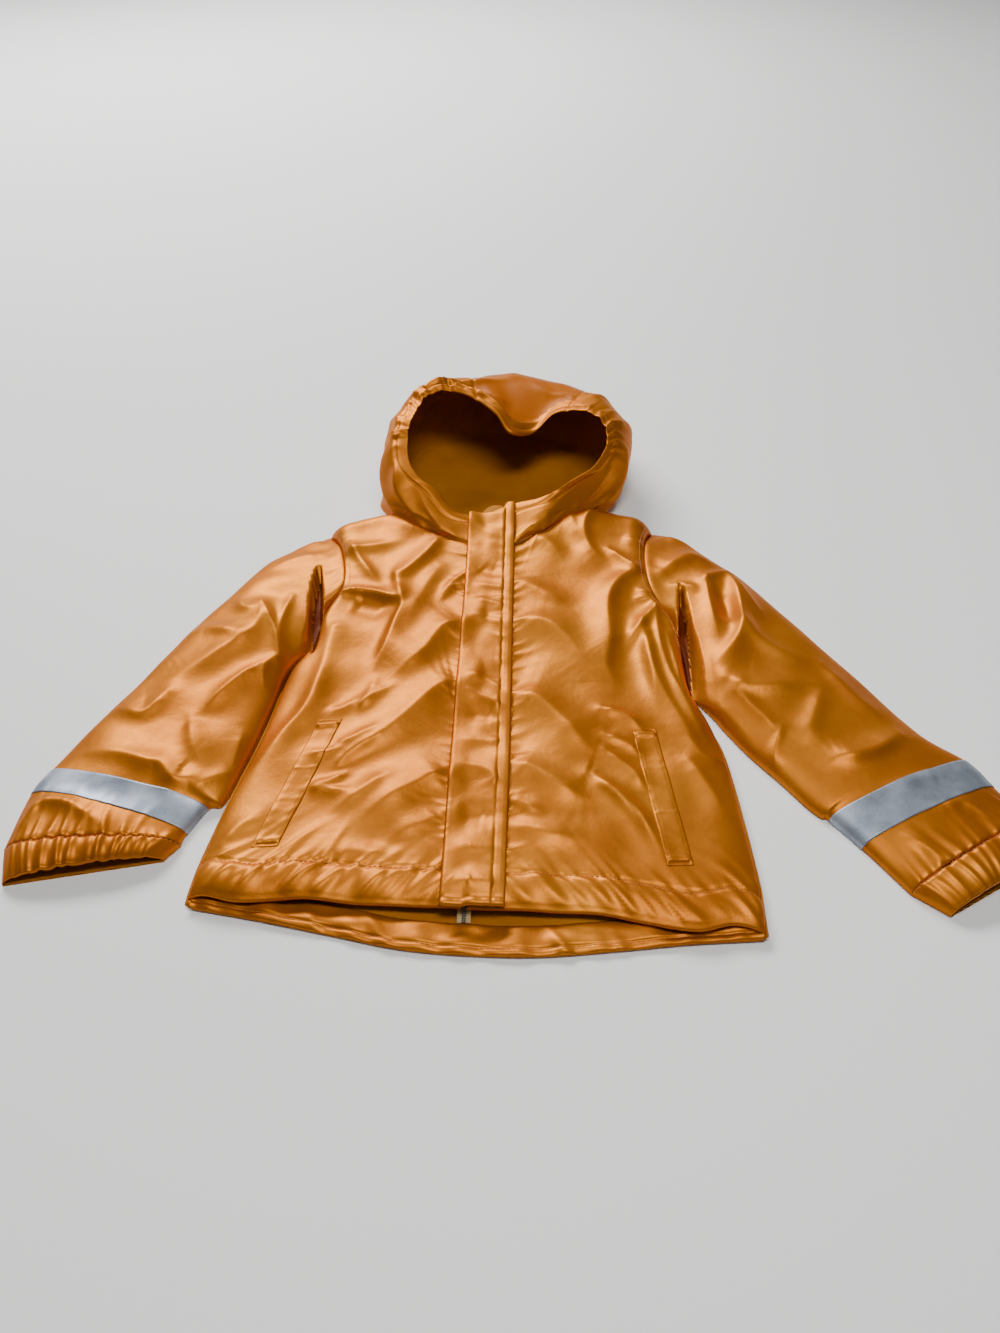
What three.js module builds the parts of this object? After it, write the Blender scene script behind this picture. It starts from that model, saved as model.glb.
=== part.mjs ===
// A child's hooded rain jacket in coated cloth, laid on its back with the front closed.
//
// Millimetres. +Z is up, +Y runs from the hem to the hood, and +X runs to the wearer's left.
// The jacket was not laid out evenly: one sleeve lies against the body, the other stands away
// from it, and the hem is a little lower on the left. So each side has tables of its own.
import * as THREE from 'three';

// ---- Driving dimensions ----

const CLOTH = 1.6;                // wall of a single layer of coated cloth
const DOUBLE_CLOTH = 2.4;         // wall of a turned-up channel
const TAPE = 1.0;                 // reflective tape and zip tape
const SEAM_GAP = 0.3;             // clear gap between pieces at a seam
const LAID_EDGE = 2 * CLOTH + SEAM_GAP;   // top of a front's edge where it lies on the back

const HOOD_CHANNEL_WIDTH = 13;
const HOOD_SEAM_GAP = 1.0;
const HOOD_GATHER_DEPTH = 1.2;
const HOOD_GATHER_PITCH = 13;
const CUFF_GATHERS = 13;          // over the upper half of each cuff
const CUFF_GATHER_DEPTH = 2.2;
const SLIT_FLOOR = 4.2;           // height of the cloth at the bottom of an underarm crease
const ROLL_HEIGHT = 5;            // the back's side edges roll up to here
const ROLL_WIDTH = 9;

const FLAP_THICKNESS = 2.0;
const WELT_THICKNESS = 1.2;
const WELT_WIDTH = 20;
const ZIP_TEETH_WIDTH = 4;
const ZIP_TAPE_WIDTH = 2.8;

// ---- Small helpers ----

const clamp = (value, low = 0, high = 1) => Math.max(low, Math.min(high, value));
const mix = (a, b, k) => a + (b - a) * k;

function ease(k) {
  const c = clamp(k);
  return c * c * (3 - 2 * c);
}

// A quarter circle: 0 at an edge, 1 at a radius in from it.
const roundOver = (distance, radius) => Math.sqrt(1 - (1 - clamp(distance / radius)) ** 2);

// Rows of numbers under named columns.
function table(columns, rows) {
  const names = columns.split(' ');
  return rows.map((row) => Object.fromEntries(names.map((name, i) => [name, row[i]])));
}

function slopeAt(rows, at, i, name) {
  const before = Math.max(i - 1, 0);
  const after = Math.min(i + 1, rows.length - 1);
  return (rows[after][name] - rows[before][name]) / (at[after] - at[before]);
}

// A smooth line through a table's rows. It runs along the column named by `along`, or from
// 0 to 1 in even steps, one for each row.
function lineThrough(rows, along) {
  const at = rows.map((row, i) => (along ? row[along] : i / (rows.length - 1)));
  const names = Object.keys(rows[0]).filter((name) => name !== along);
  return (where) => {
    const w = clamp(where, at[0], at[at.length - 1]);
    let i = 0;
    while (i < rows.length - 2 && w > at[i + 1]) i += 1;
    const span = at[i + 1] - at[i];
    const k = (w - at[i]) / span;
    const point = {};
    for (const name of names) {
      const a = rows[i][name];
      const b = rows[i + 1][name];
      const leave = slopeAt(rows, at, i, name) * span;
      const arrive = slopeAt(rows, at, i + 1, name) * span;
      const bend = (k - 1) * leave + k * arrive - (2 * k - 1) * (b - a);
      point[name] = mix(a, b, k) + k * (k - 1) * bend;
    }
    return point;
  };
}

function evenSteps(count, from = 0, to = 1) {
  return Array.from({ length: count + 1 }, (_, i) => mix(from, to, i / count));
}

// ---- Walls of cloth ----

function closedMesh(points, triangles) {
  let volume = 0;
  for (const [a, b, c] of triangles) {
    volume += points[a].dot(new THREE.Vector3().crossVectors(points[b], points[c]));
  }
  const faces = volume > 0 ? triangles : triangles.map(([a, b, c]) => [a, c, b]);
  const geometry = new THREE.BufferGeometry();
  const flat = points.flatMap((p) => [p.x, p.y, p.z]);
  geometry.setAttribute('position', new THREE.Float32BufferAttribute(flat, 3));
  geometry.setIndex(faces.flat());
  geometry.computeVertexNormals();
  return geometry;
}

// Joins two grids of points, one on each face of the cloth, into one closed wall.
// With `ring` the last row joins the first again, and the wall is a tube.
function wallBetween(outer, inner, ring = false) {
  const rows = outer.length;
  const columns = outer[0].length;
  const points = [...outer.flat(), ...inner.flat()];
  const triangles = [];
  const quad = (a, b, c, d) => triangles.push([a, b, c], [a, c, d]);
  const out = (i, j) => (i % rows) * columns + j;
  const into = (i, j) => rows * columns + out(i, j);
  const lastRow = ring ? rows : rows - 1;
  for (let i = 0; i < lastRow; i += 1) {
    for (let j = 0; j < columns - 1; j += 1) {
      quad(out(i, j), out(i + 1, j), out(i + 1, j + 1), out(i, j + 1));
      quad(into(i, j), into(i, j + 1), into(i + 1, j + 1), into(i + 1, j));
    }
    quad(out(i, 0), into(i, 0), into(i + 1, 0), out(i + 1, 0));
    quad(out(i, columns - 1), out(i + 1, columns - 1), into(i + 1, columns - 1), into(i, columns - 1));
  }
  if (!ring) {
    for (let j = 0; j < columns - 1; j += 1) {
      quad(out(0, j), out(0, j + 1), into(0, j + 1), into(0, j));
      quad(out(rows - 1, j), into(rows - 1, j), into(rows - 1, j + 1), out(rows - 1, j + 1));
    }
  }
  return closedMesh(points, triangles);
}

// Unit normals of a grid of points, on the side that `outside` lies on.
function normalsOf(grid, outside, ring = false) {
  const rows = grid.length;
  const columns = grid[0].length;
  const pick = (i, j) => {
    const row = ring ? (i + rows) % rows : clamp(i, 0, rows - 1);
    return grid[row][clamp(j, 0, columns - 1)];
  };
  let side = 0;
  const normals = grid.map((row, i) => row.map((point, j) => {
    const across = pick(i + 1, j).clone().sub(pick(i - 1, j));
    const along = pick(i, j + 1).clone().sub(pick(i, j - 1));
    const normal = across.cross(along).normalize();
    side += normal.dot(outside(point));
    return normal;
  }));
  if (side < 0) normals.flat().forEach((normal) => normal.negate());
  return normals;
}

const upward = () => new THREE.Vector3(0, 0, 1);

// Moves every point of a grid along the normals, or along `steer(i, j)` where that is given.
function movedBy(grid, normals, distance, steer = () => null) {
  return grid.map((row, i) => row.map((point, j) => {
    const direction = steer(i, j) ?? normals[i][j];
    return point.clone().addScaledVector(direction, distance);
  }));
}

// ---- Folds ----

const FOLD_STEPS = 8;

// Height of the folds over a point in plan. A fold is a rounded ridge along a bowed line, with
// one width on its left side and another on its right. It fades out at both ends.
function foldHeight(folds, x, y) {
  let height = 0;
  for (const fold of folds) {
    let nearest = Infinity;
    let place = 0;
    let onLeft = false;
    for (let i = 0; i <= FOLD_STEPS; i += 1) {
      const k = i / FOLD_STEPS;
      const bow = 2 * k * (1 - k);
      const px = (1 - k) ** 2 * fold.x0 + bow * fold.x1 + k * k * fold.x2;
      const py = (1 - k) ** 2 * fold.y0 + bow * fold.y1 + k * k * fold.y2;
      const distance = Math.hypot(x - px, y - py);
      if (distance < nearest) {
        nearest = distance;
        place = k;
        const dx = (1 - k) * (fold.x1 - fold.x0) + k * (fold.x2 - fold.x1);
        const dy = (1 - k) * (fold.y1 - fold.y0) + k * (fold.y2 - fold.y1);
        onLeft = dx * (y - py) - dy * (x - px) > 0;
      }
    }
    const width = onLeft ? fold.left : fold.right;
    const fade = Math.sin(Math.PI * clamp(0.12 + 0.76 * place));
    height += fold.rise * fade * Math.exp(-((nearest / width) ** 2));
  }
  return height;
}

// ---- The body ----

// Height of the upper cloth of the body above the ground, from the hem to the chin.
const BODY_HEIGHT = lineThrough(table('y height', [
  [-40, 12], [-10, 12], [25, 16], [120, 17], [210, 19], [290, 22], [370, 24], [410, 26], [450, 31],
]), 'y');

// The two sides of the body. `side` is the side edge from the hem to the underarm, then the
// armhole seam up to the shoulder tip: the height of the cloth there, and how far in from the
// edge it rounds up. `top` is the neck seam from the zip, then the shoulder edge. `hem` is the
// edge of the front, and `tail` that of the back, which drops lower.
const ZIP_LINE = lineThrough(table('y x', [[-20, -5], [400, 4], [470, 6]]), 'y');

const RIGHT = {
  shoulderTip: { x: -158, y: 446 },
  neckPoint: { x: -93, y: 467 },
  zipSide: -1,
  hemEnd: -209,
  underarm: 268,
  slit: { x0: -158, y0: 376, x1: -149, y1: 252, halfWidth: 15 },
  side: lineThrough(table('y x height radius', [
    [3, -209, 5.3, 22],
    [33, -206, 5.3, 34],
    [89, -196, 5.3, 36],
    [158, -181, 5.3, 34],
    [237, -168, 5.3, 26],
    [268, -153, SLIT_FLOOR, 16],
    [300, -148, SLIT_FLOOR, 9],
    [322, -141, 12, 9],
    [342, -131, 21, 14],
    [363, -131, 21, 22],
    [387, -135, 19, 26],
    [412, -142, 16, 28],
    [446, -158, LAID_EDGE, 24],
  ]), 'y'),
  top: lineThrough(table('x y height radius', [
    [-158, 446, LAID_EDGE, 22],
    [-137, 452, LAID_EDGE, 26],
    [-117, 461, LAID_EDGE, 26],
    [-93, 467, LAID_EDGE + 0.6, 26],
    [-74, 453, 14, 30],
    [-51, 433, 21, 34],
    [-30, 418, 24.5, 34],
    [-9, 405, 26, 34],
    [7, 399, 26, 34],
  ]), 'x'),
  hem: lineThrough(table('x y', [
    [-209, 3], [-196, 3], [-170, -2], [-125, 0], [-80, -4], [-22, -7], [0, -8],
  ]), 'x'),
  folds: table('x0 y0 x1 y1 x2 y2 rise left right', [
    [-18, 396, -36, 320, -82, 212, 5, 12, 20],
    [-22, 268, -50, 205, -110, 138, 5, 14, 18],
    [-20, 158, -55, 128, -104, 82, 5, 14, 20],
    [-143, 338, -118, 330, -76, 322, 5, 12, 9],
    [-48, 426, -50, 385, -92, 345, 4, 12, 14],
    [-76, 318, -78, 270, -104, 160, 4, 12, 10],
    [-148, 262, -158, 170, -178, 50, 3, 12, 10],
  ]),
};

const LEFT = {
  shoulderTip: { x: 183, y: 452 },
  neckPoint: { x: 122, y: 474 },
  zipSide: 1,
  hemEnd: 213,
  underarm: 210,
  slit: { x0: 197, y0: 344, x1: 189, y1: 196, halfWidth: 14 },
  side: lineThrough(table('y x height radius', [
    [-26, 213, 5.3, 22],
    [16, 215, 5.3, 34],
    [97, 212, 5.3, 36],
    [137, 209, 5.3, 32],
    [173, 202, 5.3, 24],
    [210, 191, SLIT_FLOOR, 14],
    [262, 190, SLIT_FLOOR, 9],
    [298, 185, 8, 9],
    [325, 172, 20, 14],
    [350, 166, 21, 22],
    [387, 166, 19, 26],
    [420, 171, 15, 28],
    [452, 183, LAID_EDGE, 24],
  ]), 'y'),
  top: lineThrough(table('x y height radius', [
    [3, 399, 26, 34],
    [36, 405, 26, 34],
    [52, 420, 25, 34],
    [68, 438, 22, 34],
    [84, 456, 18, 32],
    [102, 470, 12, 30],
    [122, 474, LAID_EDGE + 0.6, 26],
    [150, 467, LAID_EDGE, 26],
    [183, 452, LAID_EDGE, 22],
  ]), 'x'),
  hem: lineThrough(table('x y', [
    [-9, -8], [24, -9], [65, -11], [97, -13], [129, -20], [164, -26], [190, -21], [213, -26],
  ]), 'x'),
  folds: table('x0 y0 x1 y1 x2 y2 rise left right', [
    [34, 290, 78, 285, 100, 232, 5, 16, 20],
    [100, 232, 126, 250, 126, 340, 4, 12, 12],
    [33, 196, 80, 165, 112, 122, 5, 16, 16],
    [31, 134, 70, 110, 120, 82, 5, 16, 16],
    [165, 275, 168, 205, 200, 118, 4, 10, 10],
    [112, 464, 104, 426, 168, 428, 3, 12, 10],
    [117, 160, 114, 80, 134, 8, 3, 10, 12],
  ]),
};

const TAIL = lineThrough(table('x y', [
  [-205, -4], [-154, -14], [-100, -26], [-50, -37], [0, -42], [50, -43], [100, -39], [160, -33],
  [213, -30],
]), 'x');

const BACK_NECK = lineThrough(table('x y', [
  [-93, 467], [-50, 460], [14, 455], [75, 461], [122, 474],
]), 'x');

// 1 inside the crease under an arm, 0 outside it: a lens along a straight line.
function inSlit(slit, x, y) {
  const dx = slit.x1 - slit.x0;
  const dy = slit.y1 - slit.y0;
  const length = Math.hypot(dx, dy);
  const along = ((x - slit.x0) * dx + (y - slit.y0) * dy) / length ** 2;
  const off = Math.abs((x - slit.x0) * dy - (y - slit.y0) * dx) / length;
  const width = slit.halfWidth * Math.sin(Math.PI * clamp(along)) ** 0.6;
  if (along <= 0 || along >= 1) return 0;
  return 1 - ease((off / width - 0.15) / 0.85);
}

// Height of a front's upper face over a point in plan.
function frontHeight(half, x, y) {
  const full = BODY_HEIGHT(y).height;
  const side = half.side(y);
  const top = half.top(x);
  const fromSide = roundOver((side.x - x) * half.zipSide, side.radius);
  const fromTop = roundOver(top.y - y, top.radius);
  const soft = fromSide * fromTop;
  const folded = full + foldHeight(half.folds, x, y) * soft;
  const rounded = folded * mix(side.height / full, 1, fromSide) * mix(top.height / full, 1, fromTop);
  return mix(Math.max(rounded, LAID_EDGE), SLIT_FLOOR, inSlit(half.slit, x, y));
}

// A point of a front in plan: s runs from the zip to the side, t from the hem to the top.
function frontPlan(half, s, t) {
  const zipX = (y) => ZIP_LINE(y).x + half.zipSide * ZIP_TEETH_WIDTH / 2;
  const sideHem = half.hemEnd;
  const hemX = mix(zipX(0), sideHem, s);
  const topX = mix(zipX(400), half.shoulderTip.x, s);
  const low = { x: hemX, y: half.hem(hemX).y };
  const high = { x: topX, y: half.top(topX).y };
  const zipLow = half.hem(zipX(0)).y;
  const zipHigh = half.top(zipX(400)).y;
  const zipY = mix(zipLow, zipHigh, t);
  const sideLow = half.hem(sideHem).y;
  const sideY = mix(sideLow, half.shoulderTip.y, t);
  const straightX = mix(mix(zipX(0), sideHem, s), mix(zipX(400), half.shoulderTip.x, s), t);
  const straightY = mix(mix(zipLow, sideLow, s), mix(zipHigh, half.shoulderTip.y, s), t);
  return {
    x: mix(low.x, high.x, t) + mix(zipX(zipY), half.side(sideY).x, s) - straightX,
    y: mix(low.y, high.y, t) + mix(zipY, sideY, s) - straightY,
  };
}

function frontGrid(half, columns, rows) {
  return columns.map((s) => rows.map((t) => {
    const { x, y } = frontPlan(half, s, t);
    return new THREE.Vector3(x, y, frontHeight(half, x, y));
  }));
}

const FRONT_COLUMNS = [0, 0.06, 0.12, 0.19, 0.26, 0.33, 0.4, 0.47, 0.54, 0.61, 0.68, 0.75, 0.81, 0.865,
  0.91, 0.945, 0.975, 1];
const ROWS_BELOW_ARM = 14;
const ARMHOLE_STEPS = 14;

// Heights up the side, as shares of it: even below the arm, and above it the same places that
// the sleeve's first ring has.
function frontRows(half) {
  const low = half.hem(half.hemEnd).y;
  const share = (y) => (y - low) / (half.shoulderTip.y - low);
  const below = evenSteps(ROWS_BELOW_ARM, 0, share(half.underarm));
  const above = evenSteps(ARMHOLE_STEPS).map((k) => {
    const down = (1 + Math.cos(Math.PI * k)) / 2;
    return share(mix(half.shoulderTip.y, half.underarm, down));
  });
  return [...below, ...above.slice(1)];
}

function makeFront(half) {
  const rows = frontRows(half);
  const outer = frontGrid(half, FRONT_COLUMNS, rows);
  const last = FRONT_COLUMNS.length - 1;
  const steer = (i, j) => {
    if (i === last && outer[i][j].y < half.underarm - 20) return new THREE.Vector3(half.zipSide, 0, 0);
    if (i === last || j === rows.length - 1) return upward();
    return null;
  };
  const inner = movedBy(outer, normalsOf(outer, upward), -CLOTH, steer);
  return { geometry: wallBetween(outer, inner), outer };
}

// The back lies flat, and its side edges roll up to meet the fronts.
function makeBack() {
  const across = [0, 0.012, 0.024, ...evenSteps(8, 0.1, 0.9), 0.976, 0.988, 1];
  const underarms = [LEFT, RIGHT].map(({ underarm, shoulderTip, hemEnd }) => {
    const low = TAIL(hemEnd).y;
    return (underarm - low) / (shoulderTip.y - low);
  });
  const stops = [0, ...underarms, 1];
  const up = [0, ...[11, 3, 9].flatMap((count, i) => evenSteps(count, stops[i], stops[i + 1]).slice(1))];
  const rightSide = (y) => RIGHT.side(y).x;
  const leftSide = (y) => LEFT.side(y).x;
  const backTop = (x) => {
    if (x < RIGHT.neckPoint.x) return RIGHT.top(x).y;
    if (x > LEFT.neckPoint.x) return LEFT.top(x).y;
    return BACK_NECK(x).y;
  };
  // The armhole of the back is straight: only the fronts' curves in under the arm.
  const edge = (half, y) => {
    if (y < half.underarm) return half.side(y).x;
    const k = (y - half.underarm) / (half.shoulderTip.y - half.underarm);
    return mix(half.side(half.underarm).x, half.shoulderTip.x, clamp(k));
  };
  const lower = across.map((s) => up.map((t) => {
    const lowX = mix(RIGHT.hemEnd, LEFT.hemEnd, s);
    const highX = mix(RIGHT.shoulderTip.x, LEFT.shoulderTip.x, s);
    const y = mix(TAIL(lowX).y, backTop(highX), t);
    const x = mix(edge(RIGHT, y), edge(LEFT, y), s);
    const half = s < 0.5 ? RIGHT : LEFT;
    const fromEdge = Math.min(s, 1 - s) * (leftSide(y) - rightSide(y));
    const roll = ROLL_HEIGHT * ease((half.underarm - 24 - y) / 40);
    return new THREE.Vector3(x, y, roll * (1 - roundOver(fromEdge, ROLL_WIDTH)));
  }));
  const steer = (i, j) => {
    const rolled = lower[i][j].z > 1;
    const atEdge = i === 0 || i === across.length - 1;
    if (atEdge && rolled) return new THREE.Vector3(i === 0 ? 1 : -1, 0, 0);
    return atEdge ? upward() : null;
  };
  const upper = movedBy(lower, normalsOf(lower, upward), CLOTH, steer);
  return wallBetween(lower, upper);
}

// ---- Pieces that rest on others ----

const LAY_REACH = 4;

// Height of the highest facet of the given grids within `reach` of a point in plan.
function topOf(grids, x, y, reach) {
  let highest = 0;
  const triangle = (a, b, c, px, py) => {
    const area = (b.x - a.x) * (c.y - a.y) - (c.x - a.x) * (b.y - a.y);
    const k = ((px - a.x) * (c.y - a.y) - (c.x - a.x) * (py - a.y)) / area;
    const m = ((b.x - a.x) * (py - a.y) - (px - a.x) * (b.y - a.y)) / area;
    if (k < 0 || m < 0 || k + m > 1) return;
    highest = Math.max(highest, a.z + k * (b.z - a.z) + m * (c.z - a.z));
  };
  for (const grid of grids) {
    for (let i = 0; i < grid.length - 1; i += 1) {
      for (let j = 0; j < grid[0].length - 1; j += 1) {
        const corners = [grid[i][j], grid[i + 1][j], grid[i + 1][j + 1], grid[i][j + 1]];
        const away = Math.hypot(corners[0].x - x, corners[0].y - y);
        if (away < 45) {
          for (const [dx, dy] of [[0, 0], [reach, 0], [-reach, 0], [0, reach], [0, -reach]]) {
            triangle(corners[0], corners[1], corners[2], x + dx, y + dy);
            triangle(corners[0], corners[2], corners[3], x + dx, y + dy);
          }
        }
      }
    }
  }
  return highest;
}

// A strip laid on the grids below it, whose points in plan are `plan(s, t)`. Where it runs out
// past an edge of what it lies on, it keeps the height it had there: `held(x, y)` says where.
function laidStrip(plan, across, along, below, thickness, held = (x, y) => y) {
  const under = across.map((s) => along.map((t) => {
    const { x, y } = plan(s, t);
    return new THREE.Vector3(x, y, topOf(below, x, held(x, y), LAY_REACH) + SEAM_GAP);
  }));
  const over = under.map((row) => row.map((p) => p.clone().setZ(p.z + thickness)));
  return { geometry: wallBetween(over, under), outer: over };
}

// ---- The sleeves ----

// Each row is a section across a sleeve. `t` runs from the armhole to the cuff, `outer` is the
// edge away from the body, `inner` the edge along it, and `height` the top of the section.
const SLEEVES = {
  right: {
    half: RIGHT,
    rows: lineThrough(table('t outerX outerY innerX innerY height', [
      [0, -158.6, 446.6, -153.8, 267.6, 20],
      [0.064, -180, 428, -164, 252, 22],
      [0.157, -213, 398, -171, 232, 25],
      [0.297, -243, 346, -176.5, 198, 24],
      [0.436, -270, 297, -184, 158, 22],
      [0.598, -300, 232, -193, 116, 20],
      [0.738, -330, 170, -201, 90, 19],
      [0.828, -350, 124, -212, 87, 18],
      [0.907, -358, 99, -224, 62, 17.5],
      [1, -361, 47, -226, 52, 18],
    ]), 't'),
    band: { from: 0.828, to: 0.905 },
    folds: table('x0 y0 x1 y1 x2 y2 rise left right', [
      [-160, 366, -200, 300, -282, 218, 7, 15, 12],
      [-168, 296, -180, 225, -236, 180, 5, 12, 14],
      [-338, 143, -300, 152, -240, 112, 4, 12, 12],
    ]),
  },
  left: {
    half: LEFT,
    rows: lineThrough(table('t outerX outerY innerX innerY height', [
      [0, 183.7, 452.6, 191.9, 209.5, 20],
      [0.062, 207, 442, 205, 190, 23],
      [0.146, 228, 412, 214, 172, 26],
      [0.266, 262, 373, 230, 144, 24],
      [0.44, 306, 298, 251, 114, 22],
      [0.6, 345, 228, 268, 88, 21],
      [0.717, 380, 164, 277, 78, 20.5],
      [0.785, 410, 134, 282, 76, 19.5],
      [0.878, 424, 106, 302, 48, 18.5],
      [1, 440, 74, 327, 8, 18],
    ]), 't'),
    band: { from: 0.786, to: 0.876 },
    folds: table('x0 y0 x1 y1 x2 y2 rise left right', [
      [219, 360, 206, 300, 240, 264, 5, 14, 12],
      [240, 262, 228, 236, 204, 228, 4, 10, 14],
      [216, 226, 262, 186, 332, 230, 5, 14, 14],
      [284, 132, 330, 140, 378, 166, 4, 12, 14],
    ]),
  },
};

const BAND_RECESS = TAPE + SEAM_GAP;
const BAND_MARGIN = 0.006;        // shares of the sleeve's length, level and sloping, by the tape
const BAND_RAMP = 0.03;
const SEAM_ZONE = 0.06;           // share of the sleeve over which it blends from the armhole
const BOW_ZONE = 0.16;
const SLEEVE_STANDOFF = 0.7;      // how far the sleeve's first ring stands off the armhole
const SLEEVE_EDGE_HEIGHT = 2;     // where the cloth turns under, along a sleeve's two edges

const UNDERSIDE_STEPS = 8;

// The turns round a tube, in radians: over the top from the outer edge, then back underneath.
function turnsRound(overTop) {
  const over = evenSteps(overTop, 0, Math.PI);
  const beneath = evenSteps(UNDERSIDE_STEPS, Math.PI, 2 * Math.PI).slice(1, -1);
  return [...over, ...beneath];
}

const ringTurns = turnsRound(ARMHOLE_STEPS);

// A point of a sleeve's outer face: t along it, and the turn round it in radians, 0 at the outer
// edge. The first half turn is the upper cloth, and the second lies on the ground.
function sleevePoint(sleeve, t, turn) {
  const row = sleeve.rows(t);
  const s = (1 - Math.cos(turn)) / 2;
  let x = mix(row.outerX, row.innerX, s);
  let y = mix(row.outerY, row.innerY, s);
  const { band } = sleeve;
  const outsideBand = Math.max(band.from - t, t - band.to);
  const ground = BAND_RECESS * ease((BAND_RAMP - outsideBand) / (BAND_RAMP - BAND_MARGIN));
  if (turn > Math.PI + 1e-6) return new THREE.Vector3(x, y, ground);

  // Near the armhole the upper cloth bows in to follow the seam.
  const { half } = sleeve;
  const underarmX = half.side(half.underarm).x;
  const seamY = mix(half.shoulderTip.y, half.underarm, s);
  const seam = half.side(seamY);
  const bow = 1 - ease(t / BOW_ZONE);
  x += bow * (seam.x - mix(half.shoulderTip.x, underarmX, s));
  const shift = bow * half.zipSide * SLEEVE_STANDOFF;
  const crown = Math.sin(turn) ** 0.7;
  const folds = foldHeight(sleeve.folds, x, y) * crown;
  const open = mix(seam.height, row.height * crown + folds, ease(t / SEAM_ZONE));
  const creased = inSlit(half.slit, x - shift, y) * (1 - ease(t / 0.3));
  const height = mix(open, SLIT_FLOOR, creased);
  const atEdge = turn < 1e-6 || Math.abs(turn - Math.PI) < 1e-6;
  const lowest = atEdge ? Math.max(ground, SLEEVE_EDGE_HEIGHT) : ground + 2 * CLOTH + 1;
  return new THREE.Vector3(x, y, atEdge ? lowest : Math.max(height, lowest));
}

const UPPER_SLEEVE = [
  0, 0.018, 0.036, 0.06, 0.09, 0.13, 0.18, 0.235, 0.3, 0.37, 0.44, 0.51, 0.58, 0.65, 0.71,
];

function sleeveSteps({ band }) {
  const nearTape = [-BAND_RAMP, -BAND_MARGIN, 0].map((step) => band.from + step);
  const pastTape = [0, BAND_MARGIN, BAND_RAMP].map((step) => band.to + step);
  return [...UPPER_SLEEVE, ...nearTape, ...pastTape, 0.97, 1];
}

function makeSleeve(sleeve) {
  const outer = ringTurns.map((turn) => sleeveSteps(sleeve).map((t) => sleevePoint(sleeve, t, turn)));
  const axis = (p) => p.clone().sub(new THREE.Vector3(p.x, p.y, 5));
  const normals = normalsOf(outer, axis, true);
  // At the armhole the wall stands square to the seam.
  normals.forEach(([first]) => first.setX(0).normalize());
  return wallBetween(outer, movedBy(outer, normals, -CLOTH), true);
}

// Reflective tape round a sleeve, just clear of it.
function makeBand(sleeve) {
  const steps = [sleeve.band.from, sleeve.band.to];
  const under = ringTurns.map((turn) => steps.map((t) => sleevePoint(sleeve, t, turn)));
  const axis = (p) => p.clone().sub(new THREE.Vector3(p.x, p.y, 5));
  const normals = normalsOf(under, axis, true);
  const outer = movedBy(under, normals, SEAM_GAP + TAPE);
  return wallBetween(outer, movedBy(under, normals, SEAM_GAP), true);
}

// ---- The cuffs ----

const CUFFS = {
  right: { outer: { x: -352, y: 16 }, inner: { x: -236, y: 38 } },
  left: { outer: { x: 436, y: 36 }, inner: { x: 351, y: -11 } },
};
const CUFF_MOUTH_HEIGHT = 16;
const CUFF_SWELL = 3;
const STEPS_PER_GATHER = 4;

// A cuff is a turned-up channel with elastic in it: its upper cloth stands in gathers.
function makeCuff(sleeve, mouth) {
  const start = sleeve.rows(1);
  const steps = [0, 0.22, 0.6, 1];
  const outward = new THREE.Vector2(start.outerY - start.innerY, start.innerX - start.outerX).normalize();
  if (outward.y > 0) outward.negate();
  const outer = turnsRound(CUFF_GATHERS * STEPS_PER_GATHER).map((turn) => steps.map((k) => {
    const s = (1 - Math.cos(turn)) / 2;
    const x = mix(mix(start.outerX, mouth.outer.x, k), mix(start.innerX, mouth.inner.x, k), s);
    const y = mix(mix(start.outerY, mouth.outer.y, k), mix(start.innerY, mouth.inner.y, k), s);
    const gap = outward.clone().multiplyScalar(SEAM_GAP * (1 - k));
    if (turn > Math.PI + 1e-6) return new THREE.Vector3(x + gap.x, y + gap.y, 0);
    const crown = Math.sin(turn) ** 0.7;
    const swell = CUFF_SWELL * Math.sin(Math.PI * k);
    const gather = CUFF_GATHER_DEPTH * Math.cos(2 * CUFF_GATHERS * turn) * (0.45 + 0.55 * k) * crown;
    const height = (mix(start.height, CUFF_MOUTH_HEIGHT, k) + swell) * crown + gather;
    const low = Math.sin(turn) < 0.01 ? 2 : 2 * DOUBLE_CLOTH + 1;
    return new THREE.Vector3(x + gap.x, y + gap.y, Math.max(height, low));
  }));
  const axis = (p) => new THREE.Vector3(0, 0, p.z - 5);
  const normals = normalsOf(outer, axis, true);
  for (const ring of normals) {
    for (const normal of [ring[0], ring[ring.length - 1]]) {
      const axial = normal.x * outward.x + normal.y * outward.y;
      normal.x -= axial * outward.x;
      normal.y -= axial * outward.y;
      normal.normalize();
    }
  }
  return wallBetween(outer, movedBy(outer, normals, -DOUBLE_CLOTH), true);
}

// ---- The hood ----

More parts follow.
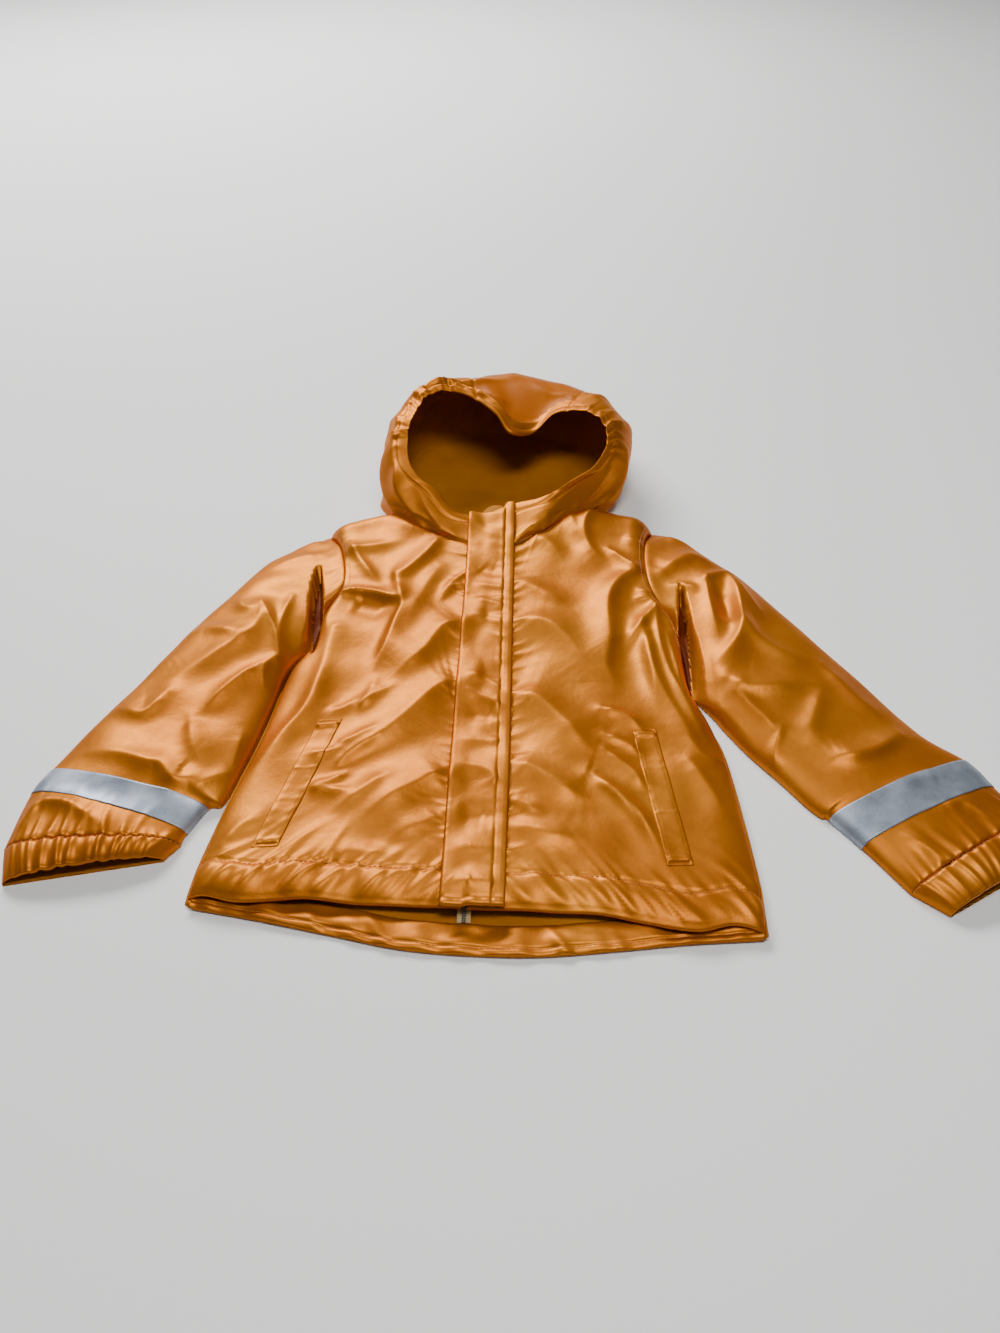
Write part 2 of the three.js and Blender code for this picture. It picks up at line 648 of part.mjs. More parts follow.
// Each row is a rib of the hood, from its edge round the face (rim), over the top of the rim's
// roll (crown), round the widest place (side) and under it to the ground (heel). From there it
// runs to the neck seam. The rows go from the zip round the wearer's right to the zip again.
const HOOD_RIBS = table(
  'rimX rimY rimZ crownX crownY crownZ sideX sideY sideZ heelX heelY heelZ neckX',
  [
    [2, 449, 30, 2, 437, 29.5, 2, 424, 28.5, 2, 411, 27, 2],
    [-25, 448, 35, -30, 443, 37, -35, 436, 34, -36, 428, 29, -37],
    [-44, 466, 50, -54, 463, 51, -62, 456, 44, -63, 448, 34, -60],
    [-62, 475, 59, -78, 477, 58, -87, 473, 46, -87, 466, 32, -79],
    [-74, 496, 67, -90, 499, 62, -100, 500, 42, -98, 488, 17, -93.6],
    [-76, 525, 76, -92, 531, 71, -103, 536, 42, -92, 526, 0, -78],
    [-72, 555, 84, -89, 567, 78, -102, 582, 42, -88, 574, 0, -56],
    [-58, 586, 90, -73, 610, 83, -89, 628, 45, -74, 614, 0, -34],
    [-34, 598, 90, -44, 637, 81, -58, 664, 45, -50, 638, 0, -18],
    [-8, 594, 86, -11, 652, 77, -14, 684, 45, -14, 653, 0, -3],
    [14, 580, 77, 16, 658, 75, 16, 692, 44, 16, 656, 0, 10],
    [38, 559, 61, 46, 658, 73, 48, 693, 43, 46, 657, 0, 22],
    [58, 569, 64, 76, 653, 71, 80, 686, 42, 74, 652, 0, 34],
    [84, 578, 78, 104, 640, 71, 112, 670, 42, 102, 638, 0, 50],
    [112, 567, 84, 134, 612, 75, 146, 633, 44, 130, 610, 0, 68],
    [133, 541, 84, 151, 570, 73, 165, 586, 44, 147, 576, 0, 86],
    [134, 513, 76, 153, 528, 65, 165, 540, 42, 150, 534, 0, 106],
    [120, 490, 65, 138, 500, 55, 150, 505, 36, 144, 497, 14, 122.6],
    [100, 477, 58, 113, 483, 53, 122, 486, 40, 119, 484, 25, 102],
    [68, 463, 45, 78, 463, 45, 84, 462, 38, 82, 459, 30, 70],
    [42, 461, 38, 49, 450, 37, 53, 440, 34, 53, 430, 29, 50],
    [8, 451, 32, 8, 440, 31, 8, 427, 29.5, 8, 413, 27.5, 8],
  ],
);
const HOOD_LINE = lineThrough(HOOD_RIBS);
const HOOD_ROWS = HOOD_RIBS.length - 1;
const SHOULDER_ROWS = { right: 4, left: 17 };
const CROWN_SEAMS = { right: 9, left: 13.4 };
const GATHERED_ROWS = table('from to', [[4.6, 8.4], [13.6, 16.8]]);
const HEEL_SHARE = 0.74;          // share of a rib above the ground
const SEAM_IN_ROWS = SEAM_GAP / 30;

// The ribs that each piece of the hood is drawn on.
const HOOD_PIECES = {
  hood_side_right: evenSteps(22, 0, CROWN_SEAMS.right - SEAM_IN_ROWS),
  hood_crown: evenSteps(11, CROWN_SEAMS.right + SEAM_IN_ROWS, CROWN_SEAMS.left - SEAM_IN_ROWS),
  hood_side_left: evenSteps(19, CROWN_SEAMS.left + SEAM_IN_ROWS, HOOD_ROWS),
};

// The neck seam: along a front's top edge, or along the back's neck on the ground.
function neckPoint(row, x) {
  const onRight = row <= SHOULDER_ROWS.right;
  const onLeft = row >= SHOULDER_ROWS.left;
  const edge = (where) => {
    if (onRight) return RIGHT.top(where);
    return onLeft ? LEFT.top(where) : BACK_NECK(where);
  };
  const at = edge(x);
  const slope = edge(x + 0.5).y - edge(x - 0.5).y;
  const length = Math.hypot(slope, 1);
  const fromShoulder = Math.min(row - SHOULDER_ROWS.right, SHOULDER_ROWS.left - row);
  const height = onRight || onLeft ? at.height : (LAID_EDGE + 0.6) * (1 - ease(fromShoulder / 0.7));
  const gap = 2 * SEAM_GAP;
  return new THREE.Vector3(x - (slope / length) * gap, at.y + gap / length, height);
}

// A point of the hood's outer face: `row` says which rib, and v runs along it from the rim.
function hoodPoint(row, v) {
  const rib = HOOD_LINE(row / HOOD_ROWS);
  const neck = neckPoint(row, rib.neckX);
  const stops = table('x y z', [
    [rib.rimX, rib.rimY, rib.rimZ],
    [rib.crownX, rib.crownY, rib.crownZ],
    [rib.sideX, rib.sideY, rib.sideZ],
    [rib.heelX, rib.heelY, Math.max(rib.heelZ, 0)],
  ]);
  if (v <= HEEL_SHARE) {
    const { x, y, z } = lineThrough(stops)(v / HEEL_SHARE);
    return new THREE.Vector3(x, y, Math.max(z, 0));
  }
  const k = (v - HEEL_SHARE) / (1 - HEEL_SHARE);
  const heel = stops[stops.length - 1];
  return new THREE.Vector3(heel.x, heel.y, heel.z).lerp(neck, k);
}

// How far along a rib a given distance from the rim lies.
function shareAtDistance(row, distance) {
  let gone = 0;
  let v = 0;
  let last = hoodPoint(row, 0);
  while (gone < distance) {
    v += 0.004;
    const next = hoodPoint(row, v);
    gone += next.distanceTo(last);
    last = next;
  }
  return v;
}

// The hood's outward normal at a point of a rib. Where it lies on the ground it points down.
function hoodNormal(row, v) {
  const across = hoodPoint(row + 0.15, v).sub(hoodPoint(row - 0.15, v));
  const along = hoodPoint(row, Math.min(v + 0.015, 1)).sub(hoodPoint(row, Math.max(v - 0.015, 0)));
  if (hoodPoint(row, v).z < 0.5) return new THREE.Vector3(0, 0, -1);
  return across.cross(along).normalize();
}

// A point of the hood moved in from its outer face.
const insetPoint = (row, v, depth) => hoodPoint(row, v).addScaledVector(hoodNormal(row, v), -depth);

const HOOD_SHARES = [0, 0.14, 0.28, 0.42, 0.54, 0.64, 0.72, 0.79, 0.86, 0.93, 1];

function makeHoodPiece(ribs) {
  const face = (depth) => ribs.map((row) => {
    const start = shareAtDistance(row, HOOD_CHANNEL_WIDTH + HOOD_SEAM_GAP);
    return HOOD_SHARES.map((share) => insetPoint(row, mix(start, 1, share), depth));
  });
  const outer = face(0);
  return { geometry: wallBetween(outer, face(CLOTH)), outer };
}

// How far the elastic's gathers raise the channel on a rib.
function gatherAt(row, distance) {
  const window = GATHERED_ROWS.reduce((sum, { from, to }) => (
    sum + ease((row - from) / 0.6) * ease((to - row) / 0.6)), 0);
  return HOOD_GATHER_DEPTH * window * (1 + Math.cos((2 * Math.PI * distance) / HOOD_GATHER_PITCH));
}

// The channel round the face. Its elastic draws it into gathers at both sides. Along its seam
// it is as straight between two ribs as the hood's own pieces are.
function makeHoodChannel() {
  const ribs = Object.values(HOOD_PIECES).flat();
  const gathered = (row) => GATHERED_ROWS.some(({ from, to }) => row > from && row < to);
  const waves = [0.5, 1, 0];
  const lineAcross = (row, gone, depth) => {
    const end = shareAtDistance(row, HOOD_CHANNEL_WIDTH);
    return waves.map((wave, i) => insetPoint(row, (i / 2) * end, depth - gatherAt(row, gone) * wave));
  };
  const face = (depth) => {
    const lines = [];
    let gone = 0;
    ribs.slice(0, -1).forEach((rib, i) => {
      const next = ribs[i + 1];
      const stretch = hoodPoint(next, 0).distanceTo(hoodPoint(rib, 0));
      const from = lineAcross(rib, gone, depth);
      const to = lineAcross(next, gone + stretch, depth);
      const parts = gathered((rib + next) / 2) ? STEPS_PER_GATHER : 1;
      for (const k of evenSteps(parts).slice(0, -1)) {
        const line = k > 0 ? lineAcross(mix(rib, next, k), gone + k * stretch, depth) : from;
        line[2] = from[2].clone().lerp(to[2], k);
        lines.push(line);
      }
      gone += stretch;
    });
    lines.push(lineAcross(HOOD_ROWS, gone, depth));
    return lines;
  };
  const outer = face(0);
  return { geometry: wallBetween(outer, face(DOUBLE_CLOTH)), outer };
}

// ---- Closure and pockets ----

const FLAP_EDGE = lineThrough(table('y x', [[-20, -22], [145, -18], [340, -12], [470, -10]]), 'y');
const FLAP_SEAM = lineThrough(table('y x', [[-20, 24], [145, 29.5], [340, 34], [470, 37]]), 'y');
const FLAP_FOOT = -12;
const FLAP_HEAD = 449;
const FLAP_SEAM_HEAD = 461;       // the stitched side runs on a little higher
const ZIP_FOOT = -18;
const ZIP_HEAD = 442;
const GUARD_WIDTH = 28;
const GUARD_LENGTH = 56;
const GUARD_HEAD = 474;

function makeFlap(below) {
  const plan = (s, t) => {
    const head = mix(FLAP_HEAD, FLAP_SEAM_HEAD, ease((s - 0.72) / 0.14));
    const y = mix(FLAP_FOOT, head, t);
    return { x: mix(FLAP_EDGE(y).x, FLAP_SEAM(y).x, s), y };
  };
  const held = (x, y) => {
    const top = mix(FLAP_HEAD - 5, FLAP_SEAM_HEAD - 6, ease((x - 8) / 20));
    return clamp(y, FLAP_FOOT + 9, top);
  };
  return laidStrip(plan, [0, 0.25, 0.5, 0.72, 0.86, 1], evenSteps(26), below, FLAP_THICKNESS, held);
}

// The zip runs just under the fronts, and its end hangs out below the hem.
function makeZipStrip(from, to) {
  const rest = 2 * CLOTH + SEAM_GAP;
  const top = lineThrough(table('y z', [
    [ZIP_FOOT, rest], [-12, 5.2], [-4, 8.2], [6, 9.4], [25, 13], [120, 14], [210, 16], [290, 19], [370, 21],
    [410, 22.6], [450, 25],
  ]), 'y');
  const upper = [from, to].map((offset) => evenSteps(16, ZIP_FOOT, ZIP_HEAD).map((y) => (
    new THREE.Vector3(ZIP_LINE(y).x + offset, y, top(y).z))));
  return wallBetween(upper, movedBy(upper, upper.map((row) => row.map(upward)), -TAPE));
}

// The inner flap behind the zip: its rounded end shows above the storm flap.
function makeZipGuard() {
  const middle = ZIP_LINE(GUARD_HEAD).x + 12;
  const upper = evenSteps(6, -1, 1).map((s) => evenSteps(4).map((t) => {
    const head = GUARD_HEAD - 12 * (1 - Math.sqrt(1 - s * s * 0.96));
    const y = mix(GUARD_HEAD - GUARD_LENGTH, head, t);
    const z = BODY_HEIGHT(y).height - 2 * CLOTH - 3 - 3 * s * s;
    return new THREE.Vector3(middle + (s * GUARD_WIDTH) / 2, y, z);
  }));
  return wallBetween(upper, movedBy(upper, upper.map((row) => row.map(upward)), -CLOTH));
}

const WELTS = {
  right: { head: { x: -122, y: 169 }, foot: { x: -157.5, y: 41 } },
  left: { head: { x: 142.5, y: 158.5 }, foot: { x: 156, y: 23.5 } },
};

function makeWelt({ head, foot }, below) {
  const plan = (s, t) => ({
    x: mix(foot.x, head.x, t) + (s - 0.5) * WELT_WIDTH,
    y: mix(foot.y, head.y, t) + (s - 0.5) * 1.5,
  });
  return laidStrip(plan, evenSteps(3), evenSteps(11), below, WELT_THICKNESS);
}

// ---- The model ----

const COATED_CLOTH = { color: 0xd9822b, roughness: 0.42, metalness: 0 };
const ZIP_METAL = { color: 0x8a8578, roughness: 0.5, metalness: 0 };
const ZIP_CLOTH = { color: 0xc9a56a, roughness: 0.8, metalness: 0 };
const REFLECTIVE = { color: 0x9aa2ad, roughness: 0.35, metalness: 0.2 };

const jacket = new THREE.Group();
const laidOut = new THREE.Group();
jacket.add(laidOut);

function addPiece(name, geometry, finish) {
  const mesh = new THREE.Mesh(geometry, new THREE.MeshStandardMaterial(finish));
  mesh.name = name;
  laidOut.add(mesh);
}

const rightFront = makeFront(RIGHT);
const leftFront = makeFront(LEFT);
addPiece('back', makeBack(), COATED_CLOTH);
addPiece('front_right', rightFront.geometry, COATED_CLOTH);
addPiece('front_left', leftFront.geometry, COATED_CLOTH);
addPiece('sleeve_right', makeSleeve(SLEEVES.right), COATED_CLOTH);
addPiece('sleeve_left', makeSleeve(SLEEVES.left), COATED_CLOTH);
addPiece('tape_right', makeBand(SLEEVES.right), REFLECTIVE);
addPiece('tape_left', makeBand(SLEEVES.left), REFLECTIVE);
addPiece('cuff_right', makeCuff(SLEEVES.right, CUFFS.right), COATED_CLOTH);
addPiece('cuff_left', makeCuff(SLEEVES.left, CUFFS.left), COATED_CLOTH);

const hood = {};
for (const [name, ribs] of Object.entries(HOOD_PIECES)) {
  hood[name] = makeHoodPiece(ribs);
  addPiece(name, hood[name].geometry, COATED_CLOTH);
}
const channel = makeHoodChannel();
addPiece('hood_channel', channel.geometry, COATED_CLOTH);

const underFlap = [rightFront, leftFront, hood.hood_side_right, hood.hood_side_left, channel];
addPiece('storm_flap', makeFlap(underFlap.map((piece) => piece.outer)).geometry, COATED_CLOTH);
addPiece('zip_guard', makeZipGuard(), COATED_CLOTH);
const teethEdge = ZIP_TEETH_WIDTH / 2;
const tapeEdge = teethEdge + SEAM_GAP;
addPiece('zip_teeth', makeZipStrip(-teethEdge, teethEdge), ZIP_METAL);
addPiece('zip_tape_right', makeZipStrip(-tapeEdge - ZIP_TAPE_WIDTH, -tapeEdge), ZIP_CLOTH);
addPiece('zip_tape_left', makeZipStrip(tapeEdge, tapeEdge + ZIP_TAPE_WIDTH), ZIP_CLOTH);
addPiece('welt_right', makeWelt(WELTS.right, [rightFront.outer]).geometry, COATED_CLOTH);
addPiece('welt_left', makeWelt(WELTS.left, [leftFront.outer]).geometry, COATED_CLOTH);

// The middle of the jacket's box goes to the origin.
const box = new THREE.Box3().setFromObject(laidOut);
const centre = box.getCenter(new THREE.Vector3());
laidOut.position.set(-centre.x, -centre.y, -box.min.z);

export default jacket;
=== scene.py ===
# %% [markdown]
# # A child's rain jacket, laid flat
# The jacket is cut from coated cloth and sewn from about twenty pieces. The solids hold its true
# size and its main forms. This script dresses them: each piece of cloth is drawn again as a thin
# shell on the same form, on a much finer grid, with its creases, puckers, hems and stitches.

# %% Load the frame
import math
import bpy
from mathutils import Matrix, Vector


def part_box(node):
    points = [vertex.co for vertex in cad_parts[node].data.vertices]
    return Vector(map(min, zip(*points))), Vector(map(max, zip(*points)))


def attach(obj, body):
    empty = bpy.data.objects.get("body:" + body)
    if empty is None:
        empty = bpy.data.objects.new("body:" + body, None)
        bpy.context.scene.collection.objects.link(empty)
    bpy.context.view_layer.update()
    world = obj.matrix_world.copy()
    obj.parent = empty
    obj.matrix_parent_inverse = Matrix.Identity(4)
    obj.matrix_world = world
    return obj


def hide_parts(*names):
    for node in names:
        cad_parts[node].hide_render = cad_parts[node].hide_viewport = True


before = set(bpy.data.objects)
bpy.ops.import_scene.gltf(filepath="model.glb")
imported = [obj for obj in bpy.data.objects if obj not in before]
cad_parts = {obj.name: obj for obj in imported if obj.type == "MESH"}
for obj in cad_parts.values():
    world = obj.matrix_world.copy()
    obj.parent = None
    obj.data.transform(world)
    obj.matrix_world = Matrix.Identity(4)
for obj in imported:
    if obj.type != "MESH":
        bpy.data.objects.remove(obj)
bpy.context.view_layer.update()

from types import SimpleNamespace

import bpy
import numpy as np
from mathutils import Vector
from mathutils.bvhtree import BVHTree

# %% [markdown]
# ## One set of coordinates
# A pattern cutter works in millimetres from a mark on the table, so the tables below do too, from a
# mark near the zip's lower end: x to the wearer's left, y from the hem to the hood, z up from the
# table. The frame puts the middle of the jacket at its origin. Two pieces whose corners are known in
# the layout, the outer edge of a sleeve and the foot of the zip, say how far it has to move.

# %% From the layout to the frame
MM = 0.001
SLEEVE_OUTER_X = -361
ZIP_FOOT = -18
SHIFT_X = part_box("sleeve_right")[0].x / MM - SLEEVE_OUTER_X
SHIFT_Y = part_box("zip_teeth")[0].y / MM - ZIP_FOOT


def in_frame(x, y, z):
    """Layout millimetres, as arrays of one shape, to points in the frame's metres."""
    return np.stack([(x + SHIFT_X) * MM, (y + SHIFT_Y) * MM, z * MM], axis=-1)


print("layout shift in mm:", round(SHIFT_X, 2), round(SHIFT_Y, 2))

# %% [markdown]
# ## Smooth lines from short tables
# A seam or an edge is a smooth line through a few known places, as when a cutter bends a rule
# through marks on paper. These helpers draw such lines for whole grids of points at once.

# %% Helpers for lines and blends
def clamp(value, low=0.0, high=1.0):
    return np.clip(value, low, high)


def mix(a, b, k):
    return a + (b - a) * k


def ease(k):
    c = clamp(k)
    return c * c * (3 - 2 * c)


def round_over(distance, radius):
    """A quarter circle: 0 at an edge, 1 at a radius in from it."""
    return np.sqrt(1 - (1 - clamp(distance / radius)) ** 2)


def bell(distance, width):
    """A soft hump: 1 at no distance, and next to nothing beyond two widths."""
    return np.exp(-((distance / width) ** 2))


def arch(share, power):
    """A hump that spans two edges: 0 at shares 0 and 1, and 1 half way."""
    return np.sin(np.pi * clamp(share)) ** power


def even_steps(count):
    return np.linspace(0, 1, count)


def lattice(rows, columns):
    """A grid of the values given for its rows, and one of those for its columns."""
    return np.meshgrid(rows, columns, indexing="ij")


def curve_through(values, at, where):
    """One column of a table, as a smooth curve through its rows."""
    w = clamp(where, at[0], at[-1])
    i = np.clip(np.searchsorted(at, w, side="right") - 1, 0, len(at) - 2)
    span = at[i + 1] - at[i]
    k = (w - at[i]) / span

    def slope(j):
        low = np.maximum(j - 1, 0)
        high = np.minimum(j + 1, len(at) - 1)
        return (values[high] - values[low]) / (at[high] - at[low])

    a, b = values[i], values[i + 1]
    bend = (k - 1) * slope(i) * span + k * slope(i + 1) * span - (2 * k - 1) * (b - a)
    return mix(a, b, k) + k * (k - 1) * bend


def line_through(columns, rows, along=None):
    """A smooth line through a table's rows, along one column or in even steps from 0 to 1."""
    data = {name: np.array([row[i] for row in rows], float)
            for i, name in enumerate(columns.split())}
    at = data.pop(along) if along else np.linspace(0, 1, len(rows))
    return lambda where: SimpleNamespace(**{
        name: curve_through(values, at, np.asarray(where, float)) for name, values in data.items()})


# %% [markdown]
# ## Creases
# Coated cloth is springy: it doesn't take many fine wrinkles, but long soft ridges that start where
# it is held, at a seam or under an arm, and widen and fade on their way out. Each row of a crease
# table is one ridge: the points its crest runs through, from the held end, then its rise, its width
# on the left and on the right of that way, and its crest. Two widths let a ridge be gentle on one
# side and steep on the other, like a tuck. A crest of 2 is round, and towards 1 it grows sharp.

# %% Crease relief
CREASE_STEPS = 4                  # straight steps between two points of a row


def creases(text):
    """Reads a crease table: a row a line, its points, a bar, and its rise, widths and crest."""
    table = []
    for line in text.strip().splitlines():
        path, shape = line.split("|")
        points = [[float(word) for word in point.split()] for point in path.split(",")]
        rise, left, right, crest = (float(word) for word in shape.split())
        table.append(SimpleNamespace(points=points, rise=rise, left=left, right=right, crest=crest))
    return table


def smooth_path(points):
    """A smooth line through the points of a crease, as short straight steps."""
    points = np.array(points, float)
    at = np.arange(len(points), dtype=float)
    where = np.linspace(0, len(points) - 1, CREASE_STEPS * (len(points) - 1) + 1)
    return np.stack([curve_through(column, at, where) for column in points.T], axis=-1)


def nearest_on_path(path, points):
    """Each point's distance from a path, its place along it (0 to 1) and its side (-1 to 1)."""
    best = np.full(points.shape[:-1], np.inf)
    place, side = np.zeros_like(best), np.zeros_like(best)
    for i, (start, step) in enumerate(zip(path, np.diff(path, axis=0))):
        k = clamp((points - start) @ step / max(step @ step, 1e-9))
        away = points - start - k[..., None] * step
        distance = np.linalg.norm(away, axis=-1)
        closer = distance < best
        best = np.where(closer, distance, best)
        place = np.where(closer, (i + k) / (len(path) - 1), place)
        turn = (step[0] * away[..., 1] - step[1] * away[..., 0]) / np.linalg.norm(step[:2])
        side = np.where(closer, turn / np.maximum(distance, 1e-9), side)
    return best, place, side


def ridge(crease, distance, place, side):
    width = mix(crease.right, crease.left, 0.5 + 0.5 * side) * mix(0.85, 1.2, place)
    fade = mix(0.55, 1, ease(place / 0.2)) * ease((1 - place) / 0.45)
    return crease.rise * fade * np.exp(-((distance / width) ** crease.crest))


def crease_height(table, x, y):
    points = np.stack([x, y], axis=-1)
    return sum(ridge(c, *nearest_on_path(smooth_path(c.points), points)) for c in table)


# %% [markdown]
# ## Puckers
# A seam that was sewn with a little too much thread tension draws the cloth up into short ridges
# that stand square to it and fade out within a few centimetres. They come in no even order, so
# their places, heights and lengths are drawn from a seeded list of random numbers.

# %% Pucker relief
RIPPLE_WAVES = 9


def puckers(seed, along, away, start, end, spacing, rise, reach, slant=0.0, width=3.0):
    """Ridges square to a seam: `along` runs down it and `away` is the distance from it."""
    draw = np.random.RandomState(seed)
    height = np.zeros_like(along)
    place = start + spacing * draw.uniform(0.2, 0.9)
    while place < end:
        tall = rise * draw.uniform(0.25, 1.0)
        length = reach * draw.uniform(0.4, 1.3)
        lean = slant + draw.normal(0, 0.18)
        thick = width * draw.uniform(0.6, 1.7)
        hump = bell(along - place - lean * away, thick)
        height += tall * hump * np.exp(-clamp(away, 0, 999) / length) * (away > -2)
        place += spacing * draw.uniform(0.55, 1.6)
    return height


def ripple(seed, x, y, scale, rise):
    """The slight unevenness of cloth that was smoothed out by hand: a sum of slow random waves."""
    draw = np.random.RandomState(seed)
    height = np.zeros_like(x)
    for _ in range(RIPPLE_WAVES):
        turn = draw.uniform(0, np.pi)
        length = scale * draw.uniform(0.7, 1.7)
        phase = draw.uniform(0, 2 * np.pi)
        across = x * np.cos(turn) + y * np.sin(turn)
        height += np.sin(2 * np.pi * across / length + phase)
    return rise * height / np.sqrt(RIPPLE_WAVES)


# %% [markdown]
# ## Grids of cloth
# A piece of cloth is a grid of points, rows by columns, with a face between every four. Its outer
# face is drawn, and a Solidify modifier gives it the thickness and its inner face, which has a
# material of its own: coated cloth is glossy outside and dull inside.

# %% A grid of points becomes a piece of cloth
CLOTH_THICKNESS = 0.9


def grid_faces(rows, columns, ring=False, flip=False):
    """Four-cornered faces of a grid. With ring, the last row joins the first again."""
    i, j = lattice(np.arange(rows if ring else rows - 1), np.arange(columns - 1))
    here, following = i * columns + j, (i + 1) % rows * columns + j
    corners = [here, following, following + 1, here + 1]
    faces = np.stack(corners, axis=-1).reshape(-1, 4)
    return faces[:, ::-1] if flip else faces


def tube_faces(rings, sides):
    """Four-cornered faces of a tube that is a stack of rings, open at both ends."""
    i, j = lattice(np.arange(rings - 1) * sides, np.arange(sides))
    after = (j + 1) % sides
    return np.stack([i + j, i + after, i + sides + after, i + sides + j], axis=-1).reshape(-1, 4)


def mesh_from(name, points, faces):
    mesh = bpy.data.meshes.new(name)
    mesh.from_pydata(points.reshape(-1, 3).tolist(), [], faces.tolist())
    mesh.shade_smooth()
    mesh.update()
    return mesh


def show(name, mesh, *materials):
    """Puts a mesh in the scene as a piece of the jacket."""
    for material in materials:
        mesh.materials.append(material)
    piece = bpy.data.objects.new(name, mesh)
    bpy.context.collection.objects.link(piece)
    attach(piece, "root")
    print(name, "faces:", len(mesh.polygons))
    return piece


def paint(piece, where, material, backing):
    """Paints shade on some faces of a piece with a darker copy of the face cloth. `where` marks
    them, in the grid's order.
    """
    for extra in (material, backing):
        piece.data.materials.append(extra)
    piece.data.polygons.foreach_set("material_index", np.where(where, 2, 0).ravel())


def cloth(name, grid, face, backing, ring=False, flip=False, thickness=CLOTH_THICKNESS):
    """A thin shell of cloth on a grid of layout points, with an outer face and a backing."""
    x, y, z = np.moveaxis(grid, -1, 0)
    points = in_frame(x, y, z)
    mesh = mesh_from(name, points, grid_faces(*grid.shape[:2], ring, flip))
    piece = show(name, mesh, face, backing)
    solid = piece.modifiers.new("thickness", "SOLIDIFY")
    solid.thickness = thickness * MM
    solid.offset = -1
    solid.material_offset = 1
    solid.use_even_offset = False
    return piece


# %% [markdown]
# ## Materials
# One small function adds a shader node, with its settings and its links, and a few others build on
# it. A link is given as the node and the name of its output.

# %% Colours and nodes
def colour(code):
    """An sRGB hex colour as linear red, green, blue and alpha."""
    parts = [int(code[i:i + 2], 16) / 255 for i in (1, 3, 5)]
    linear = [c / 12.92 if c <= 0.04045 else ((c + 0.055) / 1.055) ** 2.4 for c in parts]
    return (*linear, 1.0)


def node(material, kind, settings=None, **inputs):
    """Adds a node. Inputs go by socket name, with _ for a space, as a value or (node, output)."""
    made = material.node_tree.nodes.new(kind)
    for key, value in (settings or {}).items():
        setattr(made, key, value)
    for key, value in inputs.items():
        wanted = key.replace("_", " ")
        socket = made.inputs[int(key[1:])] if key[1:].isdigit() else made.inputs[wanted]
        if isinstance(value, tuple) and hasattr(value[0], "outputs"):
            material.node_tree.links.new(value[0].outputs[value[1]], socket)
        else:
            socket.default_value = value
    return made


def new_material(name):
    """An empty material, and the node that gives positions in the frame's metres."""
    material = bpy.data.materials.new(name)
    material.use_nodes = True
    material.node_tree.nodes.clear()
    place = node(material, "ShaderNodeTexCoord")
    return material, (place, "Object")


def noise(material, place, size, detail, **settings):
    """Cloudy noise whose spots are a given size in millimetres."""
    return node(material, "ShaderNodeTexNoise", Vector=place, Scale=1 / (size * MM), Detail=detail,
                **settings)


def tone_ramp(material, factor, low, high):
    """A colour ramp between two stops, each a place from 0 to 1 and a colour."""
    ramp = node(material, "ShaderNodeValToRGB", Fac=factor)
    for stop, (place, code) in zip(ramp.color_ramp.elements, (low, high)):
        stop.position = place
        stop.color = colour(code)
    return ramp


def bump(material, strength, distance, height, below=None):
    """Relief from a height, a distance in millimetres deep, on top of the relief below it."""
    normal = {"Normal": (below, "Normal")} if below else {}
    return node(material, "ShaderNodeBump", Strength=strength, Distance=distance * MM,
                Height=height, **normal)


def finish_material(material, shader):
    node(material, "ShaderNodeOutputMaterial", Surface=(shader, "BSDF"))
    return material


# %% [markdown]
# ### Coated polyester
# The jacket's cloth is a thin polyester plain weave with a polyurethane film on its face. The film
# has a satin gloss that is smoother than the weave, and it takes a slightly uneven print of the
# threads beneath. A pearly pigment makes it partly metallic, so its highlights are broad, soft and
# of the cloth's own hue. The tone drifts a little, over patches about 9 cm wide. The hood's crown
# gets a darker and duller copy of the cloth, which is painted shade. Deep in an underarm crease the
# cloth gets a dark copy that hardly shines, which is painted shade too.
# Threads lie about 0.3 mm apart, which is too fine to show from here, so the weave is drawn at
# 0.6 mm and only as relief.

# %% Coated cloth
WEAVE_PITCH = 0.6
TONE_PATCH = 90
PEEL_SIZE = 2.2                   # spots of the film's uneven print
HAND_SIZE = 9                     # softer unevenness, from handling


def coated_cloth(name, base, pale, deep, roughness=0.43, shine=0.4, pearl=0.6, weave=0.05,
                 peel=0.25):
    material, place = new_material(name)
    patches = noise(material, place, TONE_PATCH, 3.0, Roughness=0.55)
    tones = tone_ramp(material, (patches, "Fac"), (0.3, deep), (0.72, pale))
    tones.color_ramp.elements.new(0.52).color = colour(base)
    threads = [
        node(material, "ShaderNodeTexWave",
             {"wave_type": "BANDS", "bands_direction": way, "wave_profile": "SIN"}, Vector=place,
             Scale=2 * math.pi / (20 * WEAVE_PITCH * MM), Distortion=0.6, Detail=1.0)
        for way in "XY"]
    woven = node(material, "ShaderNodeMath", {"operation": "MULTIPLY"},
                 _0=(threads[0], "Fac"), _1=(threads[1], "Fac"))
    uneven = noise(material, place, PEEL_SIZE, 2.0)
    soft = noise(material, place, HAND_SIZE, 2.0)
    threads_relief = bump(material, weave, 0.2, (woven, "Value"))
    film_relief = bump(material, peel, 0.25, (uneven, "Fac"), threads_relief)
    hand_relief = bump(material, peel, 1.0, (soft, "Fac"), film_relief)
    gloss = node(material, "ShaderNodeMapRange", Value=(soft, "Fac"), To_Min=roughness - 0.05,
                 To_Max=roughness + 0.06)
    shader = node(material, "ShaderNodeBsdfPrincipled", Base_Color=(tones, "Color"),
                  Roughness=(gloss, "Result"), IOR=1.5, Normal=(hand_relief, "Normal"),
                  Specular_IOR_Level=shine, Specular_Tint=colour("#FFC04A"), Metallic=pearl)
    return finish_material(material, shader)


